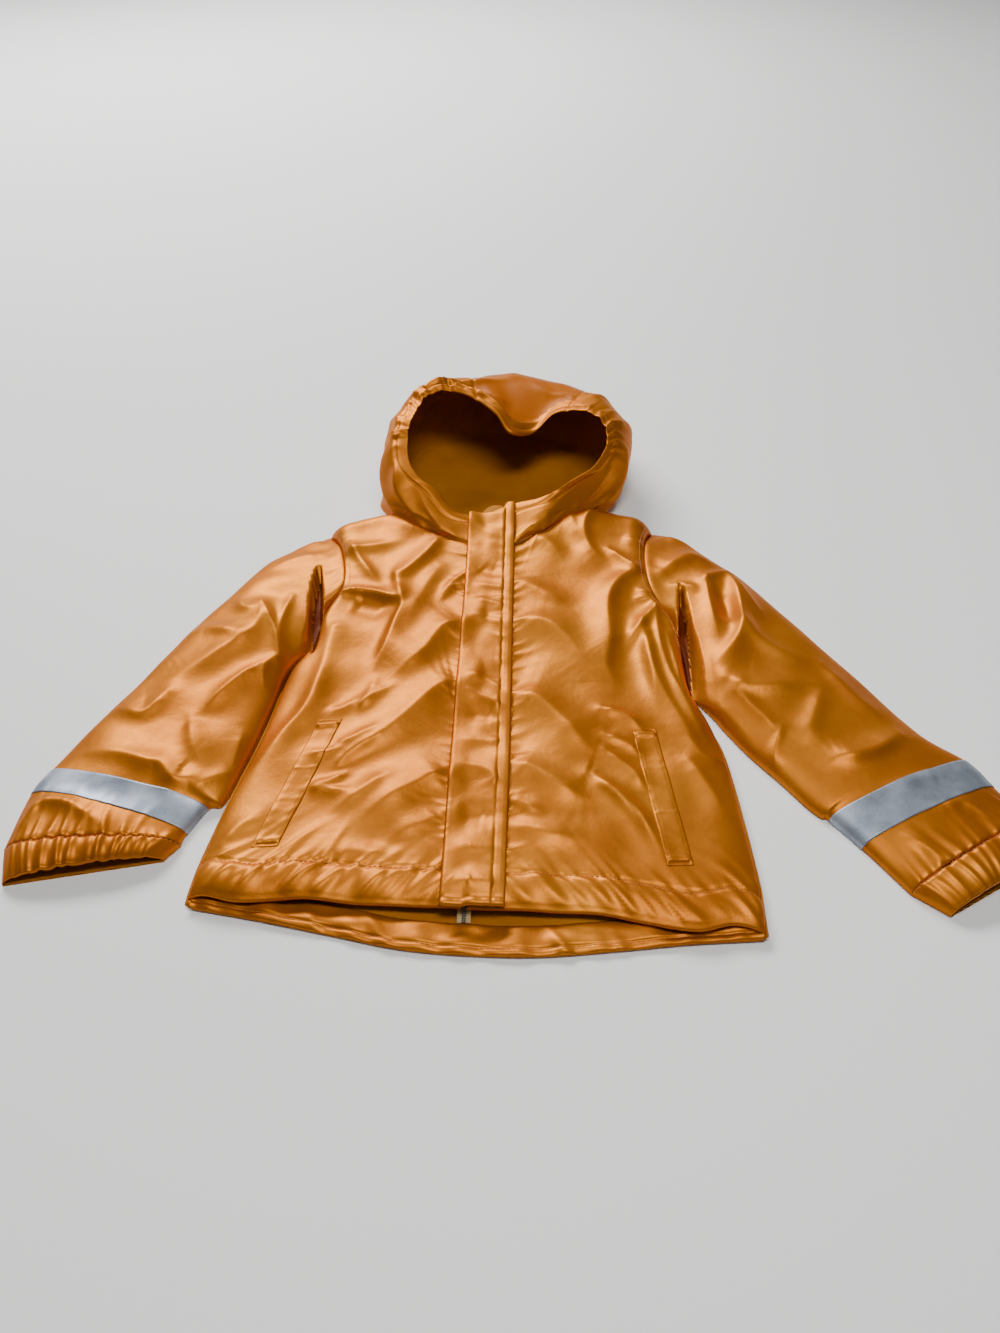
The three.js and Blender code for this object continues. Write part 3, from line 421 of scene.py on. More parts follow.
FACE_CLOTH = coated_cloth("coated polyester, satin face", "#BC6C1C", "#C6781F", "#AE6016")
# Painted shade: a darker and duller copy of the cloth for the hood's crown.
CROWN_SHADE_CLOTH = coated_cloth("coated polyester, painted shade on the crown",
                           "#B25E0C", "#BA6810", "#A45206", pearl=0.05, shine=0.1)
# Painted shade: a dark copy of the cloth for the faces deep in an underarm crease.
CREASE_SHADE_CLOTH = coated_cloth("coated polyester, painted shade deep in a crease",
                            "#5E2004", "#682606", "#4E1A02", pearl=0.0, shine=0.1)
BACKING = coated_cloth("polyester backing, uncoated weave", "#AE6A1C", "#B87622", "#985A14",
                       roughness=0.75, shine=0.35, pearl=0.0, weave=0.3, peel=0.35)

# %% [markdown]
# ### Reflective tape, thread and zip
# Retroreflective tape is a silver layer of tiny glass beads on cloth: it looks a soft, slightly
# cold grey, even and hardly glossy. Paler patches painted into its tone stand for the light that
# the beads send back. Polyester sewing thread has a silky sheen. The zip's tape is a matt woven
# polyester, and its coil is nylon.

# %% Tape, thread and zip finishes
def plain_finish(name, base, other, size, roughness, metallic=0.0, sheen=0.0):
    """A woven or beaded finish in two close tones, with relief of a given size in millimetres."""
    material, place = new_material(name)
    grain = noise(material, place, size, 3.0)
    patches = noise(material, place, 16 * size, 2.0)
    both = node(material, "ShaderNodeMath", {"operation": "MULTIPLY_ADD"},
                _0=(grain, "Fac"), _1=0.35, _2=(patches, "Fac"))
    tones = tone_ramp(material, (both, "Value"), (0.45, other), (0.85, base))
    relief = bump(material, 0.3, 0.1, (grain, "Fac"))
    shader = node(material, "ShaderNodeBsdfPrincipled", Base_Color=(tones, "Color"),
                  Roughness=roughness, Metallic=metallic, Normal=(relief, "Normal"),
                  Sheen_Weight=sheen, Sheen_Roughness=0.4)
    return finish_material(material, shader)


# The tape's paler patches are painted reflection: the light that its beads send back.
BEADED_TAPE = plain_finish("retroreflective tape, glass beads", "#A4ACB8", "#767E8A", 1.6, 0.42,
                           metallic=0.5)
THREAD = plain_finish("polyester sewing thread, twisted", "#C9742A", "#A85A1A", 0.8, 0.55,
                      sheen=0.3)
ZIP_CLOTH = plain_finish("woven polyester zip tape", "#D8BC86", "#B8945C", 0.7, 0.8, sheen=0.2)
ZIP_COIL = plain_finish("nylon zip coil, moulded", "#9A968C", "#6E6A62", 1.2, 0.45)

# %% [markdown]
# ## The fronts
# Each front is one panel: it runs from the zip to the side seam and from the hem to the shoulder,
# with a curved armhole and its half of the neck. It lies loosely on the back, about 2 cm high, and
# rounds down at its edges. The tables give its edges, and how high the cloth stands along them.

# %% Sizes of the body
CLOTH = 1.6                       # the solids' wall
LAID_EDGE = 2 * CLOTH + 0.3       # where a front's edge lies on the back
SLIT_FLOOR = 4.2                  # how high the floor of an underarm crease lies
BODY_HEIGHT = line_through("y height", [
    (-40, 12), (-10, 12), (25, 16), (120, 17), (210, 19), (290, 22), (370, 24), (410, 26),
    (450, 31),
], along="y")
ZIP_LINE = line_through("y x", [(-20, -5), (400, 4), (470, 6)], along="y")
ZIP_HALF = 2

RIGHT = SimpleNamespace(
    shoulder_tip=(-158, 446), zip_side=-1, hem_end=-209, underarm=268, neck_x=-93,
    slit=SimpleNamespace(x0=-158, y0=376, x1=-149, y1=252, half_width=11),
    side=line_through("y x height radius", [
        (3, -209, 5.3, 22),
        (33, -206, 5.3, 34),
        (89, -196, 5.3, 36),
        (158, -181, 5.3, 34),
        (237, -168, 5.3, 26),
        (268, -153, SLIT_FLOOR, 16),
        (300, -148, SLIT_FLOOR, 9),
        (322, -141, 12, 9),
        (342, -131, 23, 12),
        (363, -131, 23.5, 14),
        (387, -135, 22, 16),
        (412, -142, 18.5, 20),
        (446, -158, LAID_EDGE, 24),
    ], along="y"),
    top=line_through("x y height radius", [
        (-158, 446, LAID_EDGE, 22),
        (-137, 452, LAID_EDGE, 26),
        (-117, 461, LAID_EDGE, 26),
        (-93, 467, LAID_EDGE + 0.6, 26),
        (-74, 453, 14, 30),
        (-51, 433, 21, 34),
        (-30, 418, 24.5, 34),
        (-9, 405, 26, 34),
        (7, 399, 26, 34),
    ], along="x"),
    hem=line_through("x y", [
        (-209, 3), (-196, 3), (-170, -2), (-125, 0), (-80, -4), (-22, -7), (0, -8),
    ], along="x"),
)
LEFT = SimpleNamespace(
    shoulder_tip=(183, 452), zip_side=1, hem_end=213, underarm=210, neck_x=122,
    slit=SimpleNamespace(x0=197, y0=344, x1=189, y1=196, half_width=10),
    side=line_through("y x height radius", [
        (-26, 213, 5.3, 22),
        (16, 215, 5.3, 34),
        (97, 212, 5.3, 36),
        (137, 209, 5.3, 32),
        (173, 202, 5.3, 24),
        (210, 191, SLIT_FLOOR, 14),
        (262, 190, SLIT_FLOOR, 9),
        (298, 185, 8, 9),
        (325, 172, 20, 14),
        (350, 166, 23.5, 14),
        (387, 166, 22, 16),
        (420, 171, 18, 20),
        (452, 183, LAID_EDGE, 24),
    ], along="y"),
    top=line_through("x y height radius", [
        (3, 399, 26, 34),
        (36, 405, 26, 34),
        (52, 420, 25, 34),
        (68, 438, 22, 34),
        (84, 456, 18, 32),
        (102, 470, 12, 30),
        (122, 474, LAID_EDGE + 0.6, 26),
        (150, 467, LAID_EDGE, 26),
        (183, 452, LAID_EDGE, 22),
    ], along="x"),
    hem=line_through("x y", [
        (-9, -8), (24, -9), (65, -11), (97, -13), (129, -20), (164, -26), (190, -21), (213, -26),
    ], along="x"),
)
TAIL = line_through("x y", [
    (-205, -4), (-154, -14), (-100, -26), (-50, -37), (0, -42), (50, -43), (100, -39), (160, -33),
    (213, -30),
], along="x")
BACK_NECK = line_through("x y", [
    (-93, 467), (-50, 460), (14, 455), (75, 461), (122, 474),
], along="x")

# %% [markdown]
# ### Creases of the fronts
# The wearer's right front has a deep tuck at the armpit, from the bent sleeve: its crest runs in
# from the armhole, curls round and goes on down the panel, and below it the cloth is drawn into a
# hollow. From the closure three long folds run down to the side, gentle above and steep below. The
# left front has three such folds too, a long wavering fold under the arm that throws off small
# ones, and pleats along its side.

# %% Crease tables of the fronts
RIGHT.creases = creases("""
    -10 293, -32 277, -48 247, -67 225, -94 205 | 8.5 14 24 1.4
    -16 210, -29 206, -45 189, -67 161, -91 139, -118 116 | 9.5 15 26 1.4
    -20 117, -42 101, -68 84, -98 58 | 7.5 14 20 1.4
    -70 108, -91 91, -114 70 | 3.5 7 11 1.5
    -23 70, -44 59, -75 44 | 3.5 8 14 1.6
    -88 216, -93 194, -104 170 | 2.6 7 7 1.5
    -74 207, -91 192, -105 178 | 2.4 6 7 1.5
    -80 148, -104 130, -118 108 | 4 6 9 1.4
    -84 157, -103 145, -118 141 | 3 5 6 1.3
    -134 335, -101 330, -80 321, -66 311 | 7 9 4 1.3
    -80 356, -76 334, -71 311, -75 293, -82 258, -90 233, -91 200 | 7 16 6 1.4
    -120 318, -98 312, -80 304 | -4.5 15 15 2.0
    -38 372, -52 334, -60 305, -66 270 | 3.5 12 11 1.7
    -131 404, -111 368, -92 340 | 5 7 7 1.4
    -89 458, -67 430, -38 433, -10 416 | 3.5 7 8 1.5
    -36 425, -52 389, -74 357, -86 343 | 6 8 15 1.5
    -138 396, -108 400, -68 416 | 4 9 8 1.6
    -11 362, -24 347, -38 322 | 3.5 5 6 1.4
    -11 344, -27 336, -40 312 | 3 5 6 1.4
    -132 282, -141 193, -161 153, -181 115, -201 66 | 6.5 14 9 1.6
    -102 93, -121 95, -136 99 | 3 5 5 1.4
    -103 112, -118 102, -136 100 | 3 5 5 1.4
    -110 137, -126 132, -144 134 | 2.5 5 5 1.4
    -104 190, -116 180, -124 186 | 2.5 6 6 1.5
    -190 45, -176 62, -160 60 | 2.5 8 8 1.7
    -60 34, -88 36, -124 33 | 2.5 8 9 1.7
""")
LEFT.creases = creases("""
    36 350, 63 330, 90 308 | 3.5 15 9 1.7
    34 291, 62 284, 79 268, 95 240, 112 222 | 9.5 28 17 1.35
    30 197, 54 188, 74 164, 90 142, 118 108 | 10 26 17 1.35
    29 121, 47 113, 67 98, 86 86, 116 86 | 9 22 16 1.35
    29 85, 42 78, 60 68 | 3.5 8 6 1.5
    29 62, 58 52, 92 46 | 3 10 8 1.7
    158 368, 140 351, 128 330, 123 305, 122 266, 116 233, 121 212, 106 170 | 7.5 9 16 1.5
    108 181, 129 171, 147 149 | 5 6 7 1.3
    109 150, 127 142, 142 127 | 4.5 6 7 1.3
    107 134, 129 112, 137 90 | 5 7 7 1.3
    96 108, 109 92, 121 75, 131 48 | 5.5 8 9 1.4
    108 95, 129 72, 138 36 | 3.5 6 6 1.5
    120 463, 108 433, 113 396, 134 380 | 5 7 8 1.4
    130 397, 148 373, 163 358 | 5 7 6 1.3
    92 460, 98 429, 109 404 | 3.5 7 8 1.5
    170 405, 158 410, 144 416 | 3 6 6 1.4
    168 310, 150 281, 132 250 | 6 6 8 1.3
    156 272, 156 222, 158 168 | 4 7 6 1.5
    169 313, 167 266, 172 220, 184 176, 200 130 | 5.5 5 7 1.3
    176 272, 181 213, 190 170, 204 134 | 5 5 6 1.3
    152 290, 154 242, 165 194, 179 153, 188 110 | 5.5 8 9 1.5
    205 127, 189 134, 174 152 | 3 6 6 1.3
    128 72, 139 46, 145 14 | 3 7 7 1.5
    176 124, 190 95, 200 62 | 3.5 8 8 1.5
    172 336, 162 332, 150 338 | 3 4 4 1.3
    172 318, 160 324, 146 322 | 3 4 4 1.3
    50 420, 72 404, 86 376 | 3.5 10 9 1.7
""")

# %% [markdown]
# ### Height of a front
# The underarm crease is a lens-shaped hollow between the front and the sleeve. Along the hem the
# cloth is turned up and stitched 27 mm above the edge, so the band below the stitches stands puffy,
# and short ridges cross it on the slant.

# %% The surface of a front
HEM_BAND = 27
HEM_SKEW = 0.8
ARMHOLE_DIP = 0.7
SEAM_GROOVE = 2.4                 # how far from a seam its groove reaches
FLAP_EDGE = line_through("y x", [(-20, -22), (145, -18), (340, -12), (470, -10)], along="y")
FLAP_SEAM = line_through("y x", [(-20, 24), (145, 29.5), (340, 34), (470, 37)], along="y")


def in_slit(slit, x, y):
    dx, dy = slit.x1 - slit.x0, slit.y1 - slit.y0
    length = math.hypot(dx, dy)
    along = ((x - slit.x0) * dx + (y - slit.y0) * dy) / length ** 2
    off = np.abs((x - slit.x0) * dy - (y - slit.y0) * dx) / length
    width = slit.half_width * arch(along, 0.6) + 1e-6
    inside = 1 - ease((off / width - 0.3) / 0.35)
    return np.where((along > 0) & (along < 1), inside, 0)


def hem_relief(half, x, y, seed):
    above = y - half.hem(x).y
    skewed = x + half.zip_side * HEM_SKEW * (above - HEM_BAND)
    band = 2.4 * arch(above / HEM_BAND, 0.7) * (above < HEM_BAND)
    groove = -1.4 * bell(above - HEM_BAND, 1.5)
    low, high = sorted((half.hem_end, 0))
    from_stitch = np.abs(above - HEM_BAND)
    ridges = puckers(seed, skewed, from_stitch, low - 20, high + 20, 13, 3.2, 15, width=4.2)
    within = arch(above / HEM_BAND, 0.5) * (above < HEM_BAND)
    diagonals = puckers(seed + 7, skewed, 0 * above, low - 20, high + 20, 14, 2.6, 99, width=4.0)
    hold = ease((above + 4) / 12)
    return band + groove + ridges * hold + diagonals * within


def closure_relief(half, x, y, seed):
    """Puckers beside the storm flap."""
    edge = FLAP_EDGE(y).x if half is RIGHT else FLAP_SEAM(y).x
    away = (x - edge) * half.zip_side
    return puckers(seed, y, np.abs(away), 25, 400, 12, 2.6, 9, slant=0.4, width=3.0) * (away > -12)


def armhole_relief(half, x, y, seed):
    side = half.side(y)
    away = (side.x - x) * half.zip_side
    above = ease((y - half.underarm - 40) / 30)
    ridges = puckers(seed, y, away, half.underarm + 40, 440, 12, 1.8, 9, width=2.8)
    return (ridges * ease(away / 5) - ARMHOLE_DIP * bell(away, SEAM_GROOVE)) * above


def neck_relief(half, x, y, seed):
    away = half.top(x).y - y
    low, high = sorted((half.neck_x, 10 * half.zip_side))
    ridges = puckers(seed, x, away, low, high, 14, 2.0, 11, slant=-0.3 * half.zip_side, width=3.4)
    return ridges * ((x > low) & (x < high)) - 1.6 * bell(away, SEAM_GROOVE)


def front_height(half, x, y):
    seed = 11 if half is RIGHT else 31
    full = BODY_HEIGHT(y).height
    side = half.side(y)
    top = half.top(x)
    from_side = round_over((side.x - x) * half.zip_side, side.radius)
    from_top = round_over(top.y - y, top.radius)
    soft = from_side * from_top
    height = full + (crease_height(half.creases, x, y) + ripple(seed, x, y, 58, 0.8)) * soft
    height = height * mix(side.height / full, 1, from_side) * mix(top.height / full, 1, from_top)
    height = mix(np.maximum(height, LAID_EDGE), SLIT_FLOOR, in_slit(half.slit, x, y))
    reliefs = (hem_relief(half, x, y, seed + 1) + closure_relief(half, x, y, seed + 2)
               + armhole_relief(half, x, y, seed + 3) + neck_relief(half, x, y, seed + 4))
    return np.maximum(height + reliefs * (0.35 + 0.65 * soft), LAID_EDGE - 0.6)


# %% [markdown]
# ### The panels
# A panel's grid is stretched between its four edges. At the hem it goes on round the fold and some
# way up inside, as the real turned-up hem does, so the edge is round and thick.

# %% Draw the two fronts
FRONT_COLUMNS = 108
FRONT_ROWS = 216
HEM_ROLL = 2.2
CREASE_SHADE_SHARE = 0.6                # how far down an underarm crease the cloth is in deep shade
TURN_STEPS = 6


def front_plan(half, s, t):
    """Where a share s from zip to side, and t from hem to top, lies in plan."""
    zip_x = ZIP_LINE([0, 400]).x + half.zip_side * ZIP_HALF
    hem_x = mix(zip_x[0], half.hem_end, s)
    top_x = mix(zip_x[1], half.shoulder_tip[0], s)
    zip_low, zip_high = half.hem(zip_x[0]).y, half.top(zip_x[1]).y
    side_low, side_high = half.hem(half.hem_end).y, half.shoulder_tip[1]
    zip_y = mix(zip_low, zip_high, t)
    side_y = mix(side_low, side_high, t)
    x = mix(ZIP_LINE(zip_y).x + half.zip_side * ZIP_HALF, half.side(side_y).x, s)
    corners = mix(mix(zip_low, side_low, s), mix(zip_high, side_high, s), t)
    y = mix(half.hem(hem_x).y, half.top(top_x).y, t) + mix(zip_y, side_y, s) - corners
    return x, y


def turned_hem(grid):
    """Adds rows round the fold at the hem and up behind it."""
    edge = grid[:, :1]
    turn = np.linspace(np.pi, 0, TURN_STEPS + 1)[:-1]
    roll = np.stack([0 * turn, -HEM_ROLL * np.sin(turn), -HEM_ROLL * (1 - np.cos(turn))], axis=-1)
    up_behind = grid[:, 12:0:-2] - np.array([0, 0, 2 * HEM_ROLL])
    return np.concatenate([up_behind, edge + roll, grid], axis=1)


def front_grid(half):
    s, t = lattice(even_steps(FRONT_COLUMNS), even_steps(FRONT_ROWS))
    x, y = front_plan(half, s, t)
    return np.stack([x, y, front_height(half, x, y)], axis=-1)


front_grids = {"right": front_grid(RIGHT), "left": front_grid(LEFT)}
for side, grid in front_grids.items():
    whole = turned_hem(grid)
    panel = cloth(f"front_panel_{side}", whole, FACE_CLOTH, BACKING, flip=side == "right")
    slit = (RIGHT if side == "right" else LEFT).slit
    # Faces deep in the underarm crease get painted shade, a dark copy of the cloth.
    shade = in_slit(slit, whole[1:, 1:, 0], whole[1:, 1:, 1]) > CREASE_SHADE_SHARE
    paint(panel, shade, CREASE_SHADE_CLOTH, BACKING)
    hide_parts(f"front_{side}")

# %% [markdown]
# ## The back
# The back lies flat on the table under everything else. Its side edges roll up to meet the fronts,
# and its hem drops a few centimetres lower, with a row of stitches near the edge.

# %% Draw the back
BACK_ROLL = 5.0
BACK_ROLL_WIDTH = 9.0
BACK_COLUMNS = 71
BACK_ROWS = 150


def back_edge(half, y):
    share = clamp((y - half.underarm) / (half.shoulder_tip[1] - half.underarm))
    straight = mix(half.side(half.underarm).x, half.shoulder_tip[0], share)
    return np.where(y < half.underarm, half.side(y).x, straight)


def back_top(x):
    neck = BACK_NECK(x).y
    neck = np.where(x < RIGHT.neck_x, RIGHT.top(x).y, neck)
    return np.where(x > LEFT.neck_x, LEFT.top(x).y, neck)


def back_grid():
    near_edge = np.array([0.004, 0.008, 0.012, 0.018, 0.024])
    across = np.unique(np.concatenate([even_steps(BACK_COLUMNS), near_edge, 1 - near_edge]))
    s, t = lattice(across, even_steps(BACK_ROWS))
    low_x = mix(RIGHT.hem_end, LEFT.hem_end, s)
    high_x = mix(RIGHT.shoulder_tip[0], LEFT.shoulder_tip[0], s)
    y = mix(TAIL(low_x).y, back_top(high_x), t)
    right, left = back_edge(RIGHT, y), back_edge(LEFT, y)
    x = mix(right, left, s)
    underarm = np.where(s < 0.5, RIGHT.underarm, LEFT.underarm)
    roll = BACK_ROLL * ease((underarm - 24 - y) / 40)
    inward = round_over(np.minimum(s, 1 - s) * (left - right), BACK_ROLL_WIDTH)
    above = y - TAIL(x).y
    soft = ease(above / 4) * 0.7 + 0.3
    lift = 0.5 + CLOTH_THICKNESS + 0.6 * soft * clamp(ripple(5, x, y, 45, 0.6) + 0.6, 0, 2)
    return np.stack([x, y, roll * (1 - inward) + lift], axis=-1)


back = cloth("back_panel", back_grid(), BACKING, FACE_CLOTH)
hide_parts("back")

# %% [markdown]
# ### The back's hem
# The back's lower edge is turned up inside by 24 mm and stitched down, so the strip that shows in
# front of the zip is face cloth, not backing. It stands a little proud, in soft uneven waves.

# %% Draw the turned-up hem of the back
TURN_UP = 24
TURN_UP_DROP = 1.2                # how far the fold hangs below the back's edge


def turn_up_grid():
    s, k = lattice(np.linspace(0.004, 0.996, 220), even_steps(30))
    x = mix(RIGHT.hem_end, LEFT.hem_end, s)
    edge = TAIL(x).y
    y = edge - TURN_UP_DROP + (TURN_UP + TURN_UP_DROP) * k
    from_edge = y - edge + TURN_UP_DROP
    left_right = np.minimum(s, 1 - s) * (LEFT.hem_end - RIGHT.hem_end)
    rolled = BACK_ROLL * (1 - round_over(left_right, BACK_ROLL_WIDTH))
    waves = puckers(6, x + 0.5 * from_edge, from_edge, -210, 215, 21, 2.4, 26, width=6)
    waves += 0.8 + ripple(7, x, 2 * y, 44, 0.8)
    puff = 1.6 * arch(from_edge / TURN_UP, 0.6)
    line = -1.1 * bell(from_edge - 6, 1.1)
    free = round_over(from_edge, 2.5) * round_over(TURN_UP + 1.4 - from_edge, 2.5)
    height = 2.3 + rolled + (puff + np.maximum(waves, 0) + line) * free
    return np.stack([x, y, height], axis=-1)


turned_up = turn_up_grid()
cloth("back_hem_turn_up", turned_up, FACE_CLOTH, BACKING)

# %% [markdown]
# ## The sleeves
# A sleeve is one tube of cloth, laid flat: its lower half lies on the table and its upper half
# stands up about 2 cm. It is drawn as rings round the tube, from the armhole to the cuff. Near the
# armhole the rings bow in to follow the curved seam.

# %% Sizes of the sleeves
SLEEVE_COLUMNS = "t outer_x outer_y inner_x inner_y height"
SLEEVES = {
    "right": SimpleNamespace(
        half=RIGHT, band=(0.828, 0.905), seed=51,
        rows=line_through(SLEEVE_COLUMNS, [
            (0, -158.6, 446.6, -153.8, 267.6, 20),
            (0.064, -180, 428, -164, 252, 22),
            (0.157, -213, 398, -171, 232, 25),
            (0.297, -243, 346, -176.5, 198, 24),
            (0.436, -270, 297, -184, 158, 22),
            (0.598, -300, 232, -193, 116, 20),
            (0.738, -330, 170, -201, 90, 19),
            (0.828, -350, 124, -212, 87, 18),
            (0.907, -358, 99, -224, 62, 17.5),
            (1, -361, 47, -226, 52, 18),
        ], along="t"),
        creases=creases("""
    -203 309, -201 283, -212 264, -234 245, -262 223, -293 210 | 8.5 13 24 1.5
    -267 200, -277 182, -287 177, -304 186, -325 188 | 6 9 14 1.5
    -228 106, -240 104, -253 118, -265 121, -289 131, -319 136, -348 130 | 7 9 16 1.5
    -192 233, -216 204, -238 170 | 5.5 9 9 1.3
    -240 172, -230 138, -210 110 | 4.5 16 8 1.6
    -195 155, -197 134, -200 114 | 3 6 6 1.4
    -195 120, -214 105, -232 86 | 4 7 8 1.4
    -203 312, -186 277, -178 248, -172 228 | 5 6 8 1.4
    -178 328, -181 280, -172 232 | 3.5 5 5 1.4
    -228 322, -218 306, -200 304 | 3.5 7 7 1.5
    -218 268, -252 284, -286 272 | 4.5 9 12 1.6
    -176 248, -188 231, -184 200 | 3.5 6 6 1.3
    -350 66, -343 81, -331 84, -314 78, -292 64, -262 40 | 6 10 6 1.4
    -160 432, -180 424, -198 408 | 4 8 8 1.5
    -162 398, -186 388, -214 368 | 3.5 10 9 1.6
""")),
    "left": SimpleNamespace(
        half=LEFT, band=(0.786, 0.876), seed=71,
        rows=line_through(SLEEVE_COLUMNS, [
            (0, 183.7, 452.6, 191.9, 209.5, 20),
            (0.062, 207, 442, 205, 190, 23),
            (0.146, 228, 412, 214, 172, 26),
            (0.266, 262, 373, 230, 144, 24),
            (0.44, 306, 298, 251, 114, 22),
            (0.6, 345, 228, 268, 88, 21),
            (0.717, 380, 164, 277, 78, 20.5),
            (0.785, 410, 134, 282, 76, 19.5),
            (0.878, 424, 106, 302, 48, 18.5),
            (1, 440, 74, 327, 8, 18),
        ], along="t"),
        creases=creases("""
    182 366, 200 383, 218 391, 254 374 | 7 16 9 1.5
    218 349, 235 362, 252 371 | 4.5 7 6 1.3
    222 352, 220 313, 221 252 | 5 8 8 1.4
    247 370, 249 320, 242 273, 224 244, 202 226 | 8 16 7 1.4
    234 335, 236 305, 234 280 | -5 8 8 2.0
    249 368, 256 335, 264 313, 276 284 | 3.5 5 6 1.3
    245 297, 254 270, 277 246, 314 238 | 4.5 10 10 1.6
    220 215, 235 204, 255 203, 290 209, 322 214 | 7 17 9 1.5
    226 199, 243 173, 260 146 | 5.5 8 8 1.4
    257 157, 248 136, 248 118 | 3.5 6 6 1.4
    354 150, 335 136, 313 127, 296 125, 278 113 | 7 8 14 1.5
    310 236, 332 190, 356 168 | 4 12 9 1.6
    300 200, 284 164, 270 136 | 4 10 10 1.6
    374 108, 354 103, 324 84 | 4 8 9 1.5
    358 22, 340 43, 324 58 | 4 6 6 1.4
    368 76, 386 83, 396 70 | 3 6 6 1.4
    192 434, 220 422, 244 396 | 4 9 8 1.6
    190 205, 214 182, 240 140 | 3.5 8 8 1.6
    188 344, 204 340, 216 330 | 3 5 5 1.4
""")),
}
SLEEVE_LENGTH = 400               # the length on which a sleeve's relief is laid out
SEAM_ZONE = 0.06
BOW_ZONE = 0.16
SLEEVE_STANDOFF = 0.7
SEAM_TUCK = 0.9                   # a sleeve's first ring runs under the front's edge by this much
CUFFS = {
    "right": SimpleNamespace(outer=(-352, 16), inner=(-236, 38)),
    "left": SimpleNamespace(outer=(436, 36), inner=(351, -11)),
}
CUFF_PITCH = 10.5

# %% [markdown]
# ### Rings of a sleeve
# The turn is an angle round the tube: 0 at the outer edge, half a turn over the top to the edge
# along the body, and half a turn back underneath. The elastic in the cuff gathers the cloth, and
# its gathers run on up the sleeve for 2 or 3 cm.

# %% The surface of a sleeve
SLEEVE_TURNS_OVER = 110
SLEEVE_TURNS_UNDER = 30
SLEEVE_STEPS = 210


def turns_round(over, under):
    above = np.linspace(0, np.pi, over + 1)
    below = np.linspace(np.pi, 2 * np.pi, under + 1)[1:-1]
    return np.concatenate([above, below])


def cuff_gathers(sleeve, s, away):
    """Uneven gathers of elastic across a sleeve's width, `away` from the elastic's edge."""
    draw = np.random.RandomState(sleeve.seed)
    row = sleeve.rows(1)
    width = math.hypot(float(row.outer_x - row.inner_x), float(row.outer_y - row.inner_y))
    height = np.zeros_like(s)
    place = -CUFF_PITCH * draw.uniform(0.1, 0.5)
    while place < width:
        tall = draw.uniform(0.5, 1.0)
        reach = draw.uniform(10, 34)
        lean = draw.uniform(-0.22, 0.22)
        thick = draw.uniform(2.4, 4.2)
        hump = bell(s * width - place - lean * away, thick)
        height += tall * hump * np.exp(-np.abs(away) / reach)
        place += CUFF_PITCH * draw.uniform(0.6, 1.35)
    return height


def sleeve_surface(sleeve, t, turn):
    """Layout points of a sleeve's outer face, for grids of shares t and turns."""
    row = sleeve.rows(t)
    half = sleeve.half
    s = (1 - np.cos(turn)) / 2
    x = mix(row.outer_x, row.inner_x, s)
    y = mix(row.outer_y, row.inner_y, s)
    over = turn <= np.pi + 1e-6
    underarm_x = half.side(half.underarm).x
    seam = half.side(mix(half.shoulder_tip[1], half.underarm, s))
    bow = (1 - ease(t / BOW_ZONE)) * over
    x = x + bow * (seam.x - mix(half.shoulder_tip[0], underarm_x, s))
    shift = bow * half.zip_side * SLEEVE_STANDOFF
    crown = np.sin(clamp(turn, 0, np.pi)) ** 0.7
    from_seam, to_cuff = t * SLEEVE_LENGTH, (1 - t) * SLEEVE_LENGTH
    relief = crease_height(sleeve.creases, x, y) + ripple(sleeve.seed, x, y, 55, 0.8)
    relief = relief + 4.2 * cuff_gathers(sleeve, s, to_cuff) * ease((t - 0.84) / 0.1)
    relief = relief + puckers(sleeve.seed + 1, s * 180, from_seam, 0, 180, 12, 2.0, 10, width=3.2)
    relief = relief - 1.5 * bell(to_cuff, 2.0)
    relief = relief * mix(0.1, 1, ease(from_seam / 16))
    tucked = bow * (1 - ease(from_seam / 3))
    x = x - half.zip_side * SEAM_TUCK * tucked
    height = mix(seam.height, row.height * crown, ease(t / SEAM_ZONE)) + relief * crown
    creased = in_slit(half.slit, x - shift, y) * (1 - ease(t / 0.3))
    height = mix(height, SLIT_FLOOR, creased)
    rounding = 2.6 + 2.0 * crown
    height = np.where(over, np.maximum(height, rounding) - SEAM_TUCK * tucked, 0.0)
    beneath = (turn > np.pi) * (CLOTH_THICKNESS + 0.05)
    edge = np.sin(clamp(turn - np.pi, 0, np.pi))
    height = np.where(over, height, beneath + 1.6 * (1 - clamp(edge * 6)) ** 2)
    return np.stack([x, y, height], axis=-1)


def sleeve_grid(sleeve):
    turns = turns_round(SLEEVE_TURNS_OVER, SLEEVE_TURNS_UNDER)
    turn, t = lattice(turns, even_steps(SLEEVE_STEPS))
    return sleeve_surface(sleeve, t, turn)


sleeve_grids = {side: sleeve_grid(sleeve) for side, sleeve in SLEEVES.items()}
for side, grid in sleeve_grids.items():
    tube = cloth(f"sleeve_shell_{side}", grid, FACE_CLOTH, BACKING, ring=True,
                 flip=side == "right")
    # Faces deep in the underarm crease get painted shade, a dark copy of the cloth.
    shade = in_slit(SLEEVES[side].half.slit, grid[:, 1:, 0], grid[:, 1:, 1]) > CREASE_SHADE_SHARE
    shade[SLEEVE_TURNS_OVER:] = False
    paint(tube, shade, CREASE_SHADE_CLOTH, BACKING)
    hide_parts(f"sleeve_{side}")

# %% [markdown]
# ## The cuffs
# Each sleeve ends in a turned-up channel with elastic in it. The channel is stitched at its upper
# edge, swells between the stitches and the mouth, and stands in sharp gathers. At the mouth its
# cloth turns in over the last few steps.

# %% Draw the cuffs
CUFF_HEIGHT = 15
CUFF_STEPS = 26
CUFF_IN_STEPS = 5
CUFF_TURNS_OVER = 200
CUFF_TURNS_UNDER = 40


